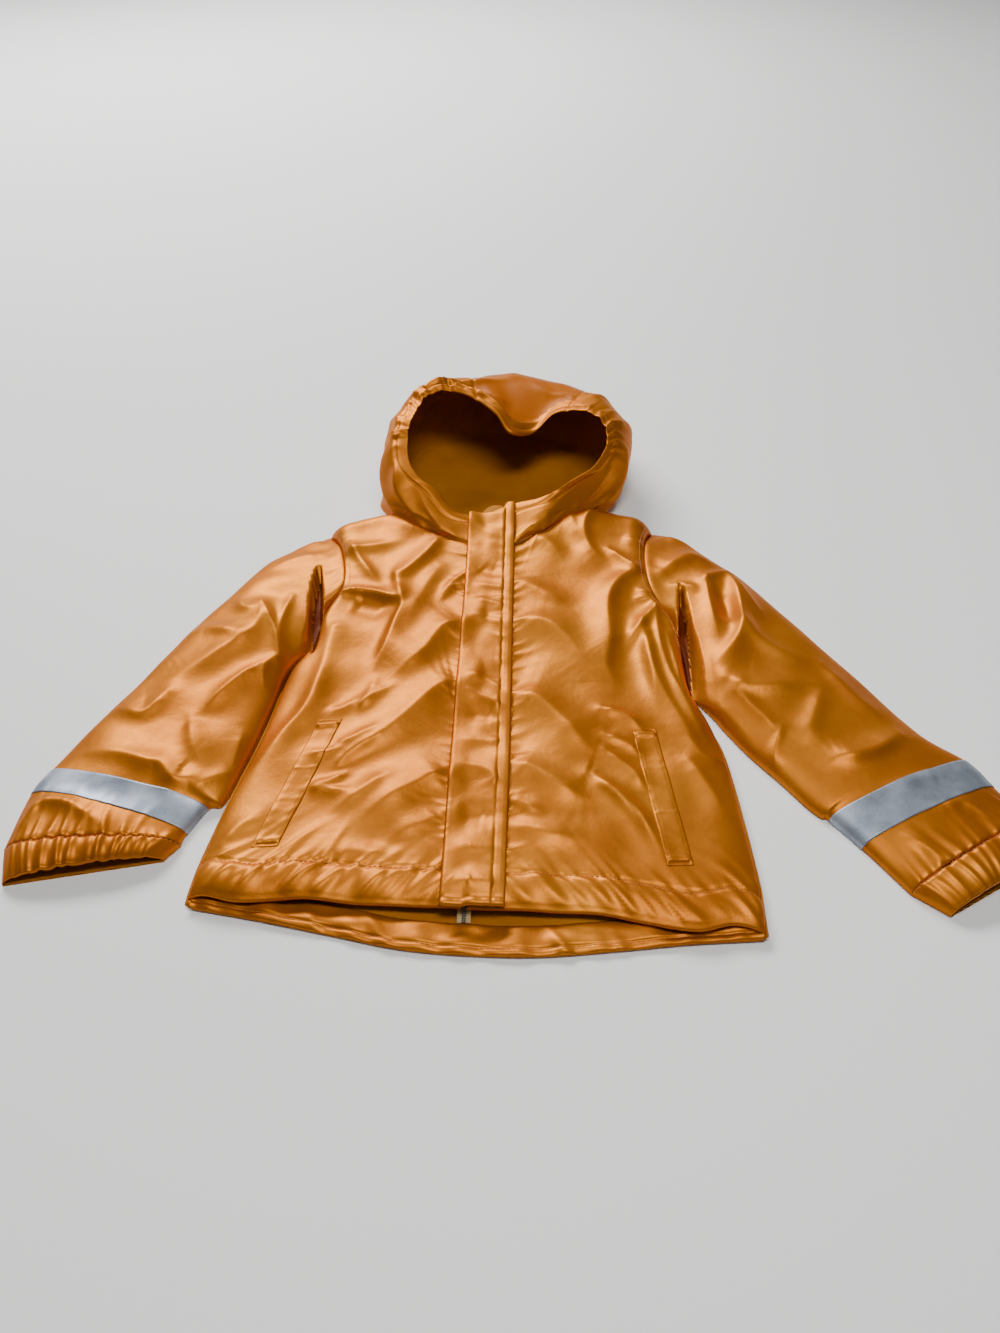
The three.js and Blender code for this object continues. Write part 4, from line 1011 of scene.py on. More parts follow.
def cuff_grid(sleeve, mouth):
    turns = turns_round(CUFF_TURNS_OVER, CUFF_TURNS_UNDER)
    steps = np.concatenate([even_steps(CUFF_STEPS), np.ones(CUFF_IN_STEPS)])
    turn_in = np.concatenate([np.zeros(CUFF_STEPS), np.linspace(0.2, 1, CUFF_IN_STEPS)])
    turn, k = lattice(turns, steps)
    _, inward = lattice(turns, turn_in)
    start = sleeve.rows(1)
    s = (1 - np.cos(turn)) / 2
    x = mix(mix(start.outer_x, mouth.outer[0], k), mix(start.inner_x, mouth.inner[0], k), s)
    y = mix(mix(start.outer_y, mouth.outer[1], k), mix(start.inner_y, mouth.inner[1], k), s)
    length = math.dist(mouth.outer, (float(start.outer_x), float(start.outer_y)))
    over = turn <= np.pi + 1e-6
    crown = np.sin(clamp(turn, 0, np.pi)) ** 0.7
    swell = 3.5 * arch(k * 1.05, 0.6)
    gathers = 5.0 * cuff_gathers(sleeve, s, -k * length * 0.5) * (0.6 + 0.4 * k)
    groove = -2.0 * bell(k * length, 2.0)
    height = (mix(start.height, CUFF_HEIGHT, k) + swell - 3 * inward) * crown
    height = height + (gathers + groove) * crown ** 0.5
    height = np.where(over, np.maximum(height, 2.6 + 2.0 * crown), CLOTH_THICKNESS + 0.05)
    return np.stack([x, y, height], axis=-1)


cuff_grids = {side: cuff_grid(SLEEVES[side], mouth) for side, mouth in CUFFS.items()}
for side, grid in cuff_grids.items():
    channel = cloth(f"cuff_shell_{side}", grid, FACE_CLOTH, BACKING, ring=True,
                    flip=side == "right", thickness=1.2)
    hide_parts(f"cuff_{side}")

# %% [markdown]
# ## Reflective tape
# A band of tape, about 3 cm wide, is sewn round each sleeve above the cuff. It is drawn from the
# sleeve's own surface, 0.6 mm further out, so it follows every crease beneath it.

# %% Draw the reflective bands
TAPE_LIFT = 0.6
TAPE_STEPS = 22


def normals_of(grid, ring=False):
    """Unit normals of a grid of points."""
    if ring:
        across = np.roll(grid, -1, axis=0) - np.roll(grid, 1, axis=0)
    else:
        across = np.gradient(grid, axis=0)
    normal = np.cross(across, np.gradient(grid, axis=1))
    return normal / np.maximum(np.linalg.norm(normal, axis=-1, keepdims=True), 1e-9)


def band_grid(sleeve, flip):
    turns = turns_round(SLEEVE_TURNS_OVER, SLEEVE_TURNS_UNDER)
    turn, t = lattice(turns, np.linspace(*sleeve.band, TAPE_STEPS))
    under = sleeve_surface(sleeve, t, turn)
    outward = normals_of(under, ring=True) * (-1 if flip else 1)
    lifted = under + outward * TAPE_LIFT
    lifted[..., 2] = np.maximum(lifted[..., 2], 0.5)
    return lifted


for side, sleeve in SLEEVES.items():
    tape = cloth(f"reflective_band_{side}", band_grid(sleeve, side == "right"), BEADED_TAPE,
                 BEADED_TAPE, ring=True, flip=side == "right", thickness=0.4)
    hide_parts(f"tape_{side}")

# %% [markdown]
# ## The hood
# The hood is three pieces of cloth, two sides and a crown, sewn to the neck. It stands open: its
# edge round the face is about 9 cm above the table. It is drawn on ribs. Each rib starts at the
# rim, rolls over the crown, goes round the widest place and under it to the table, and runs back
# along the table to the neck seam. The ribs go from the zip round the wearer's right to the zip.

# %% Ribs of the hood
HOOD_RIBS = line_through(
    "rim_x rim_y rim_z crown_x crown_y crown_z side_x side_y side_z heel_x heel_y heel_z neck_x",
    [
        (2, 449, 30, 2, 437, 29.5, 2, 424, 28.5, 2, 411, 27, 2),
        (-25, 448, 35, -30, 443, 37, -35, 436, 34, -36, 428, 29, -37),
        (-44, 466, 50, -54, 463, 51, -62, 456, 44, -63, 448, 34, -60),
        (-62, 475, 59, -78, 477, 58, -87, 473, 46, -87, 466, 32, -79),
        (-74, 496, 67, -90, 499, 62, -100, 500, 42, -98, 488, 17, -93.6),
        (-76, 525, 76, -92, 531, 71, -103, 536, 42, -92, 526, 0, -78),
        (-72, 555, 84, -89, 567, 78, -102, 582, 42, -88, 574, 0, -56),
        (-58, 586, 90, -73, 610, 83, -89, 628, 45, -74, 614, 0, -34),
        (-34, 598, 90, -44, 634, 84, -58, 664, 45, -50, 638, 0, -18),
        (-4, 584, 89, -11, 645, 82, -14, 684, 45, -14, 653, 0, -3),
        (17, 563, 83, 16, 649, 81, 16, 692, 44, 16, 656, 0, 10),
        (31, 544, 70, 46, 650, 79, 48, 693, 43, 46, 657, 0, 22),
        (55, 552, 64, 76, 647, 76, 80, 686, 42, 74, 652, 0, 34),
        (82, 575, 77, 104, 638, 73, 112, 670, 42, 102, 638, 0, 50),
        (112, 567, 84, 134, 612, 75, 146, 633, 44, 130, 610, 0, 68),
        (133, 541, 84, 151, 570, 73, 165, 586, 44, 147, 576, 0, 86),
        (134, 513, 76, 153, 528, 65, 165, 540, 42, 150, 534, 0, 106),
        (120, 490, 65, 138, 500, 55, 150, 505, 36, 144, 497, 14, 122.6),
        (100, 477, 58, 113, 483, 53, 122, 486, 40, 119, 484, 25, 102),
        (68, 463, 45, 78, 463, 45, 84, 462, 38, 82, 459, 30, 70),
        (42, 461, 38, 49, 450, 37, 53, 440, 34, 53, 430, 29, 50),
        (8, 451, 32, 8, 440, 31, 8, 427, 29.5, 8, 413, 27.5, 8),
    ])
HOOD_ROWS = 21
SHOULDER_ROWS = (4, 17)
CROWN_SEAMS = (9, 13.4)
HEEL_SHARE = 0.74
GATHERED_ROWS = ((4.4, 8.6), (13.4, 17.0))
CHANNEL_WIDTH = 13
FOLDED_LAYERS = ((2.6, 6, 3.2), (-2.6, 12, 2.2), (4.2, 18, 5.0), (-1.6, 27, 3.0))


def neck_points(row, x):
    """The neck seam: along a front's top, or along the back's neck on the table."""
    on_right, on_left = row <= SHOULDER_ROWS[0], row >= SHOULDER_ROWS[1]

    def edge(where):
        y = np.where(on_right, RIGHT.top(where).y, BACK_NECK(where).y)
        return np.where(on_left, LEFT.top(where).y, y)

    height = np.where(on_right, RIGHT.top(x).height, LEFT.top(x).height)
    from_shoulder = np.minimum(row - SHOULDER_ROWS[0], SHOULDER_ROWS[1] - row)
    behind = (LAID_EDGE + 0.6) * (1 - ease(from_shoulder / 0.7))
    height = np.where(on_right | on_left, height, behind)
    slope = edge(x + 0.5) - edge(x - 0.5)
    length = np.hypot(slope, 1)
    return np.stack([x - slope / length * 0.6, edge(x) + 0.6 / length, height], axis=-1)


def hood_surface(row, v):
    """Points of the hood's outer face, for ribs `row` (0 to HOOD_ROWS) and shares v along them."""
    rib = HOOD_RIBS(row / HOOD_ROWS)
    neck = neck_points(row, rib.neck_x)
    stops = [np.stack([getattr(rib, f"{name}_{axis}") for axis in "xyz"], axis=-1)
             for name in ("rim", "crown", "side", "heel")]
    place = clamp(v / HEEL_SHARE) * 3
    part = np.minimum(place.astype(int), 2)
    k = (place - part)[..., None]
    stack = np.stack(stops)

    def pick(i):
        return np.take_along_axis(stack, np.clip(i, 0, 3)[None, ..., None], axis=0)[0]

    a, b = pick(part), pick(part + 1)
    leave = (pick(part + 1) - pick(part - 1)) / np.where(part > 0, 2, 1)[..., None]
    arrive = (pick(part + 2) - pick(part)) / np.where(part < 2, 2, 1)[..., None]
    bend = (k - 1) * leave + k * arrive - (2 * k - 1) * (b - a)
    above = mix(a, b, k) + k * (k - 1) * bend
    along_table = mix(stops[3], neck, clamp((v - HEEL_SHARE) / (1 - HEEL_SHARE))[..., None])
    point = np.where((v <= HEEL_SHARE)[..., None], above, along_table)
    point[..., 2] = np.maximum(point[..., 2], 0)
    return point


# %% [markdown]
# ### Folds of the hood
# Its folds are given on the hood itself: the points of a row are a rib and a share along it, and
# the rise is along the outward normal. Elastic in the channel draws the rim into gathers at both
# sides, and they fan out over the cloth behind. Between them the rim's cloth lies folded over
# itself.

# %% Relief of the hood
HOOD_FOLDS = creases("""
    0.6 0.98, 1.4 0.6, 2.6 0.2 | 4.0 6 9 1.3
    1.2 0.98, 2.2 0.7, 3.4 0.3, 4.4 0.12 | 5.5 7 11 1.3
    2.0 0.98, 3.2 0.7, 4.6 0.4, 5.6 0.18 | 6.0 8 13 1.3
    3.2 0.98, 4.2 0.7, 5.4 0.5, 6.6 0.3 | 5.0 8 12 1.4
    1.0 0.97, 2.8 0.84, 4.4 0.7, 5.8 0.5 | 4.5 6 9 1.3
    20.4 0.98, 19.6 0.6, 18.4 0.2 | 4.0 9 6 1.3
    19.8 0.98, 18.6 0.7, 17.6 0.35, 16.6 0.15 | 5.5 11 7 1.3
    18.6 0.98, 17.6 0.7, 16.6 0.4, 15.6 0.2 | 6.0 13 8 1.3
    20.2 0.97, 18.6 0.84, 17.2 0.7, 15.8 0.5 | 4.5 9 6 1.3
    5.6 0.12, 6.1 0.35, 6.4 0.65 | 3.5 9 9 1.6
    7.8 0.22, 8.0 0.4, 8.0 0.66 | 3.5 10 10 1.7
    15.2 0.12, 15.1 0.4, 15.0 0.66 | 3.5 10 10 1.7
    13.9 0.22, 14.0 0.4, 13.8 0.62 | 3.0 10 10 1.7
    10.6 0.25, 10.8 0.4, 10.8 0.68 | 2.5 12 12 1.8
    6.9 0.1, 8.4 0.13, 9.8 0.19, 11.2 0.26 | 5.0 5 5 1.3
    7.6 0.03, 9.0 0.06, 10.2 0.09, 11.0 0.12 | 3.0 4 4 1.3
    13.2 0.14, 12.2 0.16, 11.2 0.24 | 3.5 6 6 1.4
    7.0 0.62, 8.6 0.5, 10.4 0.42, 12.0 0.4 | 3.5 9 12 1.4
    15.6 0.6, 14.0 0.5, 12.4 0.46 | 3.0 9 11 1.5
    9.6 0.68, 10.6 0.58, 12.0 0.52, 13.4 0.56 | 2.8 7 10 1.4
""")
HOOD_RIB_PLACES = np.linspace(0, HOOD_ROWS, 330)
HOOD_STEPS = 96


def distance_along(grid, axis):
    """Running distance along the rows or columns of a grid."""
    steps = np.linalg.norm(np.diff(grid, axis=axis), axis=-1)
    start = np.zeros_like(np.take(steps, [0], axis=axis))
    return np.concatenate([start, np.cumsum(steps, axis=axis)], axis=axis)


def fold_relief(folds, grid):
    """Height of the hood's folds, by true distance from their lines in space."""
    height = np.zeros(grid.shape[:2])
    for fold in folds:
        path = smooth_path(fold.points)
        height += ridge(fold, *nearest_on_path(hood_surface(path[:, 0], path[:, 1]), grid))
    return height


def hood_relief(grid, row):
    from_rim = distance_along(grid, 1)
    round_rim = distance_along(grid, 0)[:, :1] + 0 * from_rim
    gathered = sum(ease((row - low) / 0.7) * ease((high - row) / 0.7)
                   for low, high in GATHERED_ROWS)
    from_seam = np.abs(from_rim - CHANNEL_WIDTH)
    relief = fold_relief(HOOD_FOLDS, grid)
    relief += gathered * puckers(81, round_rim, from_seam, 0, 9999, 8, 4.6, 16, width=2.4)
    relief += 0.5 * arch(from_rim / CHANNEL_WIDTH, 0.7) * (from_rim < CHANNEL_WIDTH)
    relief -= 0.8 * bell(from_rim - CHANNEL_WIDTH, 1.9)
    folded = ease((row - 6.4) / 0.9) * ease((12.4 - row) / 1.0)
    for rise, middle, reach in FOLDED_LAYERS:
        relief += folded * rise * np.exp(-((np.abs(from_rim - middle) / reach) ** 1.3))
    to_neck = from_rim[:, -1:] - from_rim
    relief += puckers(82, round_rim, to_neck, 0, 9999, 15, 2.2, 13, width=3.4)
    relief -= 1.6 * bell(to_neck, SEAM_GROOVE)
    for seam in CROWN_SEAMS:
        line = hood_surface(np.full(60, seam), np.linspace(0, HEEL_SHARE, 60))
        near = np.min(np.linalg.norm(grid[:, :, None] - line, axis=-1), axis=-1)
        relief -= 1.2 * bell(near, 1.8)
    relief += ripple(83, round_rim, from_rim, 48, 0.8)
    return relief * ease((grid[..., 2] - 1.0) / 6)


def hood_grid():
    row, v = lattice(HOOD_RIB_PLACES, even_steps(HOOD_STEPS))
    base = hood_surface(row, v)
    outward = normals_of(base)
    outward[base[..., 2] < 0.5] = (0, 0, -1)
    grid = base + outward * hood_relief(base, row)[..., None]
    grid[..., 2] = np.maximum(grid[..., 2], 0.05)
    return grid


hood = hood_grid()
hood_piece = cloth("hood_shell", hood, FACE_CLOTH, BACKING)
hood_rows = HOOD_RIB_PLACES[:-1, None]
behind_folds = distance_along(hood, 1)[:-1, :-1] > FOLDED_LAYERS[-1][1]
# The crown behind the rim's folds gets painted shade, a darker and duller copy of the cloth.
crown_shade = (hood_rows > CROWN_SEAMS[0]) & (hood_rows < CROWN_SEAMS[1]) & behind_folds
paint(hood_piece, crown_shade, CROWN_SHADE_CLOTH, BACKING)
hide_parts("hood_side_right", "hood_crown", "hood_side_left", "hood_channel")

# %% [markdown]
# ## Laying pieces on others
# The flap, the pocket welts and the stitches lie on cloth that is already there. A search tree of
# the cloth's faces says how high it is under any point, as if a plumb line were let down on it.

# %% A tree to find the cloth's height
PLUMB_FROM = 300
NO_CLOTH = 12.0                   # the height taken where a piece reaches past the cloth under it


def tree_of(*grids):
    points, faces, start = [], [], 0
    for grid in grids:
        points.append(grid.reshape(-1, 3))
        faces.append(grid_faces(*grid.shape[:2]) + start)
        start += grid.shape[0] * grid.shape[1]
    return BVHTree.FromPolygons(np.concatenate(points).tolist(), np.concatenate(faces).tolist())


def height_on(tree, x, y, reach=0.0, missing=np.nan):
    """Height of the cloth under points in plan, or the highest within a reach of them."""
    offsets = [(0, 0)]
    if reach:
        offsets += [(reach, 0), (-reach, 0), (0, reach), (0, -reach)]
    best = np.full(np.size(x), -1.0)
    down = Vector((0, 0, -1))
    for i, (px, py) in enumerate(zip(np.ravel(x).tolist(), np.ravel(y).tolist())):
        for dx, dy in offsets:
            hit = tree.ray_cast(Vector((px + dx, py + dy, PLUMB_FROM)), down)
            if hit[0] is not None:
                best[i] = max(best[i], hit[0].z)
    height = best.reshape(np.shape(x))
    return np.where(height < 0, missing, height)


# %% [markdown]
# ## The storm flap
# A folded strip of cloth covers the zip. It is sewn to the left front with two rows of stitches,
# one at its seam and one 9 mm in, and its free edge lies over the right front. It is doubled
# cloth, so its edges are round, and the stitches draw it into short ridges across its width.

# %% Draw the storm flap
FLAP_FOOT = -12
FLAP_HEAD = 449
FLAP_SEAM_HEAD = 461
FLAP_LIFT = 1.2
FLAP_STITCH = 9.0                 # the inner row of stitches, from the seam
FLAP_SEAM_STITCH = 1.6
FLAP_FOOT_STITCH = 6
FLAP_EDGE_ROLL = 1.3
FLAP_COLUMNS = 46
FLAP_ROWS = 250
SMOOTHING_ROUNDS = 20


def flap_plan(s, t):
    head = mix(FLAP_HEAD, FLAP_SEAM_HEAD, ease((s - 0.74) / 0.1))
    y = mix(FLAP_FOOT, head, t)
    return mix(FLAP_EDGE(y).x, FLAP_SEAM(y).x, s), y


FLAP_CREASES = creases("""
    -10 441, 8 419, 33 408 | 1.6 8 6 1.6
    2 368, 13 361, 25 360 | -2.4 10 10 2.0
    29 333, 9 338, -7 342 | 1.8 5 6 1.5
    28 307, 9 314, -9 320 | 2.2 7 5 1.4
    26 282, 7 291, -10 298 | 1.8 6 5 1.4
    26 199, 5 213, -12 221 | 2.2 8 5 1.4
    25 182, 3 194, -14 203 | 2.2 6 5 1.4
    16 171, 4 173, -10 175 | -2.4 9 9 2.0
    23 141, 1 144, -17 148 | 1.8 6 6 1.5
    23 100, 11 112, -3 117, -18 118 | 2.0 7 5 1.4
    10 66, 0 68, -14 72 | -2.2 12 11 2.0
    20 36, -1 37, -20 41 | 1.6 7 7 1.7
    24 3, -2 7, -22 4 | 1.8 5 7 1.6
""")


def flap_grid(tree):
    s, t = lattice(even_steps(FLAP_COLUMNS), even_steps(FLAP_ROWS))
    x, y = flap_plan(s, t)
    top = mix(FLAP_HEAD - 5, FLAP_SEAM_HEAD - 6, ease((x - 8) / 20))
    held = np.minimum(np.maximum(y, FLAP_FOOT + 9), top)
    bare = height_on(tree, x, held, missing=NO_CLOTH)
    smooth = height_on(tree, x, held, reach=7, missing=NO_CLOTH)
    for _ in range(SMOOTHING_ROUNDS):
        padded = np.pad(smooth, 1, mode="edge")
        smooth = (padded[:-2, 1:-1] + padded[2:, 1:-1] + padded[1:-1, :-2] + padded[1:-1, 2:]
                  + 2 * padded[1:-1, 1:-1]) / 6
    under = np.maximum(smooth, bare)
    width = FLAP_SEAM(y).x - FLAP_EDGE(y).x
    from_edge, from_seam = s * width, (1 - s) * width
    from_foot = y - FLAP_FOOT
    inner = np.abs(from_seam - FLAP_STITCH)
    beyond = mix(0.25, 1, ease((from_seam - FLAP_STITCH + 2) / 4))
    relief = puckers(91, y, inner, 0, 450, 17, 1.5, 8, slant=0.12, width=3.4)
    relief += crease_height(FLAP_CREASES, x, y) + ripple(93, x, y, 34, 0.4)
    relief = relief * beyond
    relief += 0.5 * arch((from_seam - FLAP_STITCH) / (width - FLAP_STITCH), 0.6)
    relief -= 0.7 * bell(inner, 1.0) + 0.5 * bell(from_seam - FLAP_SEAM_STITCH, 0.9)
    relief -= 1.0 * bell(from_foot - FLAP_FOOT_STITCH, 1.2)
    edges = np.minimum(np.minimum(from_edge, from_foot), y.max(axis=1, keepdims=True) - y)
    round_edge = FLAP_EDGE_ROLL * (1 - round_over(edges, FLAP_EDGE_ROLL * 1.6))
    seam_edge = 1.0 * (1 - round_over(from_seam, 2.0))
    return np.stack([x, y, under + FLAP_LIFT + relief - round_edge - seam_edge], axis=-1)


body_tree = tree_of(front_grids["right"], front_grids["left"], hood)
flap = flap_grid(body_tree)
flap_piece = cloth("storm_flap_shell", flap, FACE_CLOTH, FACE_CLOTH, flip=True, thickness=1.4)
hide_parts("storm_flap")

# %% [markdown]
# ## Pocket welts
# Each slanted pocket opens along a narrow welt, a folded strip let into the front and stitched down
# all round. It is barely raised: what shows is its outline, and a short dark slot at each end.

# %% Draw the pocket welts
WELT_WIDTH = 20
WELT_STITCH = 2.6                 # the row of stitches, from the welt's edge
WELT_COLUMNS = 26
WELT_ROWS = 150
SLOT_DEPTH = 2.6                  # the open end of a pocket, a narrow dark slot
WELTS = {
    "right": SimpleNamespace(head=(-122, 169), foot=(-157.5, 41)),
    "left": SimpleNamespace(head=(142.5, 158.5), foot=(156, 23.5)),
}


def welt_plan(welt, s, t):
    x = mix(welt.foot[0], welt.head[0], t) + (s - 0.5) * WELT_WIDTH
    return x, mix(welt.foot[1], welt.head[1], t) + (s - 0.5) * 1.5


def welt_grid(welt, tree, seed):
    s, t = lattice(even_steps(WELT_COLUMNS), even_steps(WELT_ROWS))
    x, y = welt_plan(welt, s, t)
    length = math.dist(welt.head, welt.foot)
    edges = np.minimum(np.minimum(s, 1 - s) * WELT_WIDTH, np.minimum(t, 1 - t) * length)
    relief = 0.6 * round_over(edges, 4.0) - 0.15 * bell(edges - WELT_STITCH, 0.9) - 0.35
    side = np.minimum(s, 1 - s) * WELT_WIDTH
    relief += puckers(seed, t * length, side, 0, length, 13, 1.0, 6, width=2.6) * clamp(edges / 3)
    for end, deep in ((1 - t, SLOT_DEPTH), (t, 0.5 * SLOT_DEPTH)):
        slot = bell(end * length - WELT_STITCH, 1.1)
        lip = bell(end * length - 6.5, 2.4)
        relief += (0.45 * deep * lip - deep * slot) * ease(side / 3)
    return np.stack([x, y, height_on(tree, x, y, missing=NO_CLOTH) + 0.1 + relief], axis=-1)


welt_grids = {}
for seed, (side, welt) in enumerate(WELTS.items(), start=95):
    welt_grids[side] = welt_grid(welt, body_tree, seed)
    piece = cloth(f"pocket_welt_{side}", welt_grids[side], FACE_CLOTH, FACE_CLOTH, flip=True,
                  thickness=0.5)
    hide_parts(f"welt_{side}")

# %% [markdown]
# ## Behind the zip
# An inner flap keeps the zip off the wearer's chin. Its rounded end stands up behind the storm
# flap's top, and shows as a dark arch.

# %% Draw the inner flap
GUARD_WIDTH = 28
GUARD_LENGTH = 56
GUARD_HEAD = 474


def guard_grid():
    s, t = lattice(np.linspace(-1, 1, 33), even_steps(30))
    head = GUARD_HEAD - 12 * (1 - np.sqrt(1 - s * s * 0.96))
    y = mix(GUARD_HEAD - GUARD_LENGTH, head, t)
    z = BODY_HEIGHT(y).height - 2 * CLOTH - 3 - 3 * s * s
    rim = np.minimum((1 - np.abs(s)) * GUARD_WIDTH / 2, head - y)
    z = z + 0.8 * round_over(rim, 2.0) - 0.6 * bell(rim - 2.4, 0.9)
    middle = float(ZIP_LINE(GUARD_HEAD).x) + 12
    return np.stack([middle + s * GUARD_WIDTH / 2, y, z], axis=-1)


guard = cloth("inner_zip_flap", guard_grid(), BACKING, BACKING, flip=True)
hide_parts("zip_guard")

# %% [markdown]
# ## The zip's foot
# Below the hem hang the ends of the zip: two woven tapes, and between them the coil, the small
# nylon loops of both sides, meshed into one row. The upper part runs hidden under the storm flap.

# %% Draw the zip
ZIP_HEAD = 442
TAPE_WIDTH = 2.8
COIL_WIDTH = 3.4
COIL_PITCH = 1.3
COIL_RINGS = 9
COIL_SIDES = 8
ZIP_GAP = 1.6                     # from the zip's middle to a tape
ZIP_TOP = line_through("y z", [
    (ZIP_FOOT, 4.0), (-12, 5.2), (-4, 8.2), (6, 9.4), (25, 13), (120, 14), (210, 16), (290, 19),
    (370, 21), (410, 22.6), (450, 25),
], along="y")


def zip_strip(offset_from, offset_to, columns, bulge):
    s, y = lattice(even_steps(columns), np.linspace(ZIP_FOOT, ZIP_HEAD, 232))
    x = ZIP_LINE(y).x + mix(offset_from, offset_to, s)
    return np.stack([x, y, ZIP_TOP(y).z + bulge * np.sin(np.pi * s)], axis=-1)


def coil_mesh():
    """Loops of the coil, each a bent capsule across the zip."""
    bend = np.linspace(-1, 1, COIL_RINGS)
    b, a = lattice(bend, np.linspace(0, 2 * np.pi, COIL_SIDES, endpoint=False))
    radius = 0.5 * np.sqrt(1.001 - bend ** 6)
    loop = tube_faces(COIL_RINGS, COIL_SIDES)
    points, faces = [], []
    for y in np.arange(ZIP_FOOT + 1, ZIP_HEAD, COIL_PITCH):
        x = float(ZIP_LINE(y).x) + b * COIL_WIDTH / 2
        z = float(ZIP_TOP(y).z) + 0.5 + 0.5 * (1 - b * b) + radius[:, None] * np.sin(a)
        faces.append(loop + len(points) * b.size)
        points.append(np.stack([x, y + radius[:, None] * np.cos(a) * 0.95, z], axis=-1))
    points = np.stack(points).reshape(-1, 3)
    return mesh_from("zip_coil", in_frame(*points.T), np.concatenate(faces))


coil = show("zip_coil", coil_mesh(), ZIP_COIL)
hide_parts("zip_teeth")
for side, sign in (("right", -1), ("left", 1)):
    near, far = sign * ZIP_GAP, sign * (ZIP_GAP + TAPE_WIDTH + 0.6)
    strip = cloth(f"zip_tape_shell_{side}", zip_strip(near, far, 6, 0.25), ZIP_CLOTH, ZIP_CLOTH,
                  flip=side == "left", thickness=0.6)
    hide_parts(f"zip_tape_{side}")

# %% [markdown]
# ## Stitches
# A lockstitch shows as a row of short, slightly sunken threads, here 2.9 mm long, one every 3.9 mm.
# Each one is a small capsule that lies on the cloth, and a row of them follows a seam. The rows run
# along the hem, the flap, the pockets, the armholes, the back's hem and the cuffs.

# %% Sew rows of stitches
STITCH = 2.9
STITCH_PITCH = 3.9
STITCH_RADIUS = 0.34
STITCH_LIFT = 0.12
CAPSULE_SIDES = 6
CAPSULE_RINGS = ((-0.5, 0.35), (-0.32, 1.0), (0.32, 1.0), (0.5, 0.35))


def even_stops(line, pitch):
    """Places a pitch apart along a line of points, with the direction at each."""
    steps = np.linalg.norm(np.diff(line, axis=0), axis=1)
    run = np.concatenate([[0], np.cumsum(steps)])
    stops = np.arange(pitch / 2, run[-1], pitch)
    at, ahead, behind = (
        np.stack([np.interp(stops + shift, run, line[:, k]) for k in range(3)], axis=-1)
        for shift in (0, 1, -1))
    way = ahead - behind
    return at, way / np.maximum(np.linalg.norm(way, axis=1, keepdims=True), 1e-9)


def stitch_rows(name, lines):
    turn = np.linspace(0, 2 * np.pi, CAPSULE_SIDES, endpoint=False)[:, None]
    points, faces = [], []
    capsule = tube_faces(len(CAPSULE_RINGS), CAPSULE_SIDES)[:, [0, 3, 2, 1]]
    for line in lines:
        for at, way in zip(*even_stops(np.asarray(line, float), STITCH_PITCH)):
            across = np.cross(way, (0, 0, 1.0))
            across /= max(np.linalg.norm(across), 1e-9)
            up = np.cross(across, way)
            faces.append(capsule + CAPSULE_SIDES * len(points))
            for offset, wide in CAPSULE_RINGS:
                ring = np.cos(turn) * across + np.sin(turn) * up
                points.append(at + way * offset * STITCH + up * STITCH_LIFT
                              + STITCH_RADIUS * wide * ring)
    print(name, "stitches:", len(faces))
    mesh = mesh_from(name, in_frame(*np.concatenate(points).T), np.concatenate(faces))
    return show(name, mesh, THREAD)


def laid_line(tree, x, y):
    """A line in plan, let down on the cloth."""
    line = np.stack([x, y, height_on(tree, x, y)], axis=-1)
    return line[~np.isnan(line[:, 2])]


def hem_line(half, above):
    low, high = sorted((half.hem_end * 0.985, 0))
    x = np.linspace(low, high, 160)
    return x, half.hem(x).y + above


def flap_line(from_seam):
    y = np.linspace(FLAP_FOOT + 1, FLAP_SEAM_HEAD - 2, 200)
    return FLAP_SEAM(y).x - from_seam, y


def welt_outline(welt, margin):
    m_s, m_t = margin / WELT_WIDTH, margin / math.dist(welt.head, welt.foot)
    stops = [(m_s, m_t), (m_s, 1 - m_t), (1 - m_s, 1 - m_t), (1 - m_s, m_t), (m_s, m_t)]
    lines = []
    k = even_steps(40)
    for (s0, t0), (s1, t1) in zip(stops, stops[1:]):
        lines.append(welt_plan(welt, mix(s0, s1, k), mix(t0, t1, k)))
    return lines


def armhole_line(half, inward):
    y = np.linspace(half.underarm + 50, half.shoulder_tip[1] - 6, 90)
    return half.side(y).x - half.zip_side * inward, y


def cuff_line(grid, share):
    """The row of stitches along a cuff's upper edge, over its top."""
    return grid[4:CUFF_TURNS_OVER - 4, int(share * (grid.shape[1] - 1))] + np.array([0, 0, 0.1])


flap_tree, turn_up_tree = tree_of(flap), tree_of(turned_up)
stitch_rows("hem_stitches", [laid_line(body_tree, *hem_line(half, HEM_BAND))
                             for half in (RIGHT, LEFT)])
foot_x = np.linspace(-20, 22, 40)
flap_rows = [flap_line(FLAP_STITCH), flap_line(FLAP_SEAM_STITCH),
             (foot_x, 0 * foot_x + FLAP_FOOT + FLAP_FOOT_STITCH)]
stitch_rows("flap_stitches", [laid_line(flap_tree, *line) for line in flap_rows])
stitch_rows("pocket_stitches", [laid_line(tree_of(welt_grids[side]), *line)
                                for side, welt in WELTS.items()
                                for line in welt_outline(welt, WELT_STITCH)])
stitch_rows("armhole_stitches", [laid_line(body_tree, *armhole_line(half, 5))
                                 for half in (RIGHT, LEFT)])
tail_x = np.linspace(RIGHT.hem_end + 6, LEFT.hem_end - 6, 260)
stitch_rows("back_hem_stitches", [laid_line(turn_up_tree, tail_x, TAIL(tail_x).y + 4.8)])
stitch_rows("cuff_stitches", [cuff_line(grid, 0.04) for grid in cuff_grids.values()])
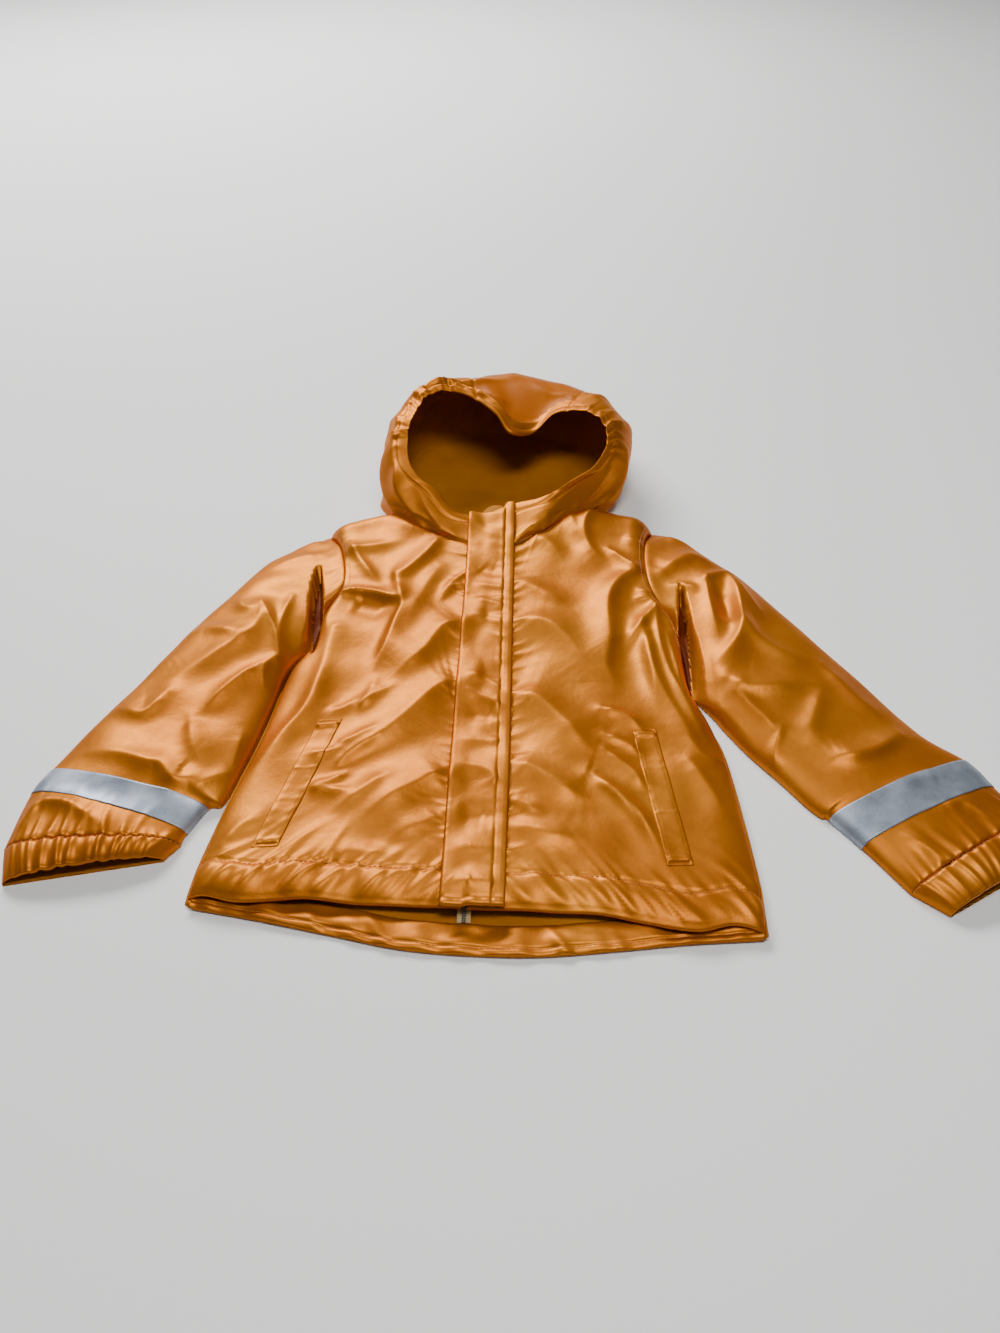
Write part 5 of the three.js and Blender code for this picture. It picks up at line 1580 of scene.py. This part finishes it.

# %% [markdown]

# %% [markdown]
# ## Camera and light
# The jacket lies on a pale table and is seen from the hem's side, at about 44 degrees. A large soft
# light stands high behind the hood, so each fold has a broad highlight and a shaded near side. A
# small soft box overhead brightens the fronts, and a weak light fills from the front.

# %% Table, camera and lights
TABLE_HALF = 12.0                 # metres
floor_corners = [(-1, -1, 0), (1, -1, 0), (1, 1, 0), (-1, 1, 0)]
floor_mesh = mesh_from("table_top", TABLE_HALF * np.array(floor_corners),
                       np.array([[0, 1, 2, 3]]))
floor_material, _ = new_material("white laminate table top, matt")
floor_shader = node(floor_material, "ShaderNodeBsdfPrincipled", Base_Color=colour("#FAFAF8"),
                    Roughness=0.7)
floor_mesh.materials.append(finish_material(floor_material, floor_shader))
floor = bpy.data.objects.new("table_top", floor_mesh)
bpy.context.collection.objects.link(floor)

camera_data = bpy.data.cameras.new("camera")
camera_data.lens = 27.09
camera_data.sensor_width = 36
camera = bpy.data.objects.new("camera", camera_data)
camera.location = (-0.0181, -0.7356, 0.6425)
camera.rotation_euler = (math.radians(46), 0, 0)
bpy.context.collection.objects.link(camera)
bpy.context.scene.camera = camera


def area_light(name, place, size, power):
    """A rectangular light that is aimed at the middle of the jacket."""
    data = bpy.data.lights.new(name, "AREA")
    data.shape = "RECTANGLE"
    data.size, data.size_y = size
    data.energy = power
    lamp = bpy.data.objects.new(name, data)
    lamp.location = place
    lamp.rotation_euler = (-Vector(place)).to_track_quat("-Z", "Y").to_euler()
    bpy.context.collection.objects.link(lamp)


area_light("soft_box_behind", (-1.1, 2.5, 1.9), (2.2, 0.9), 150)
area_light("soft_box_overhead", (0.1, -0.45, 1.6), (0.7, 0.4), 16)
area_light("fill_from_the_front", (0.5, -1.5, 1.6), (2.0, 1.5), 2)

world = bpy.data.worlds.new("studio")
world.use_nodes = True
world.node_tree.nodes["Background"].inputs["Color"].default_value = colour("#F2F4F8")
world.node_tree.nodes["Background"].inputs["Strength"].default_value = 0.08
bpy.context.scene.world = world
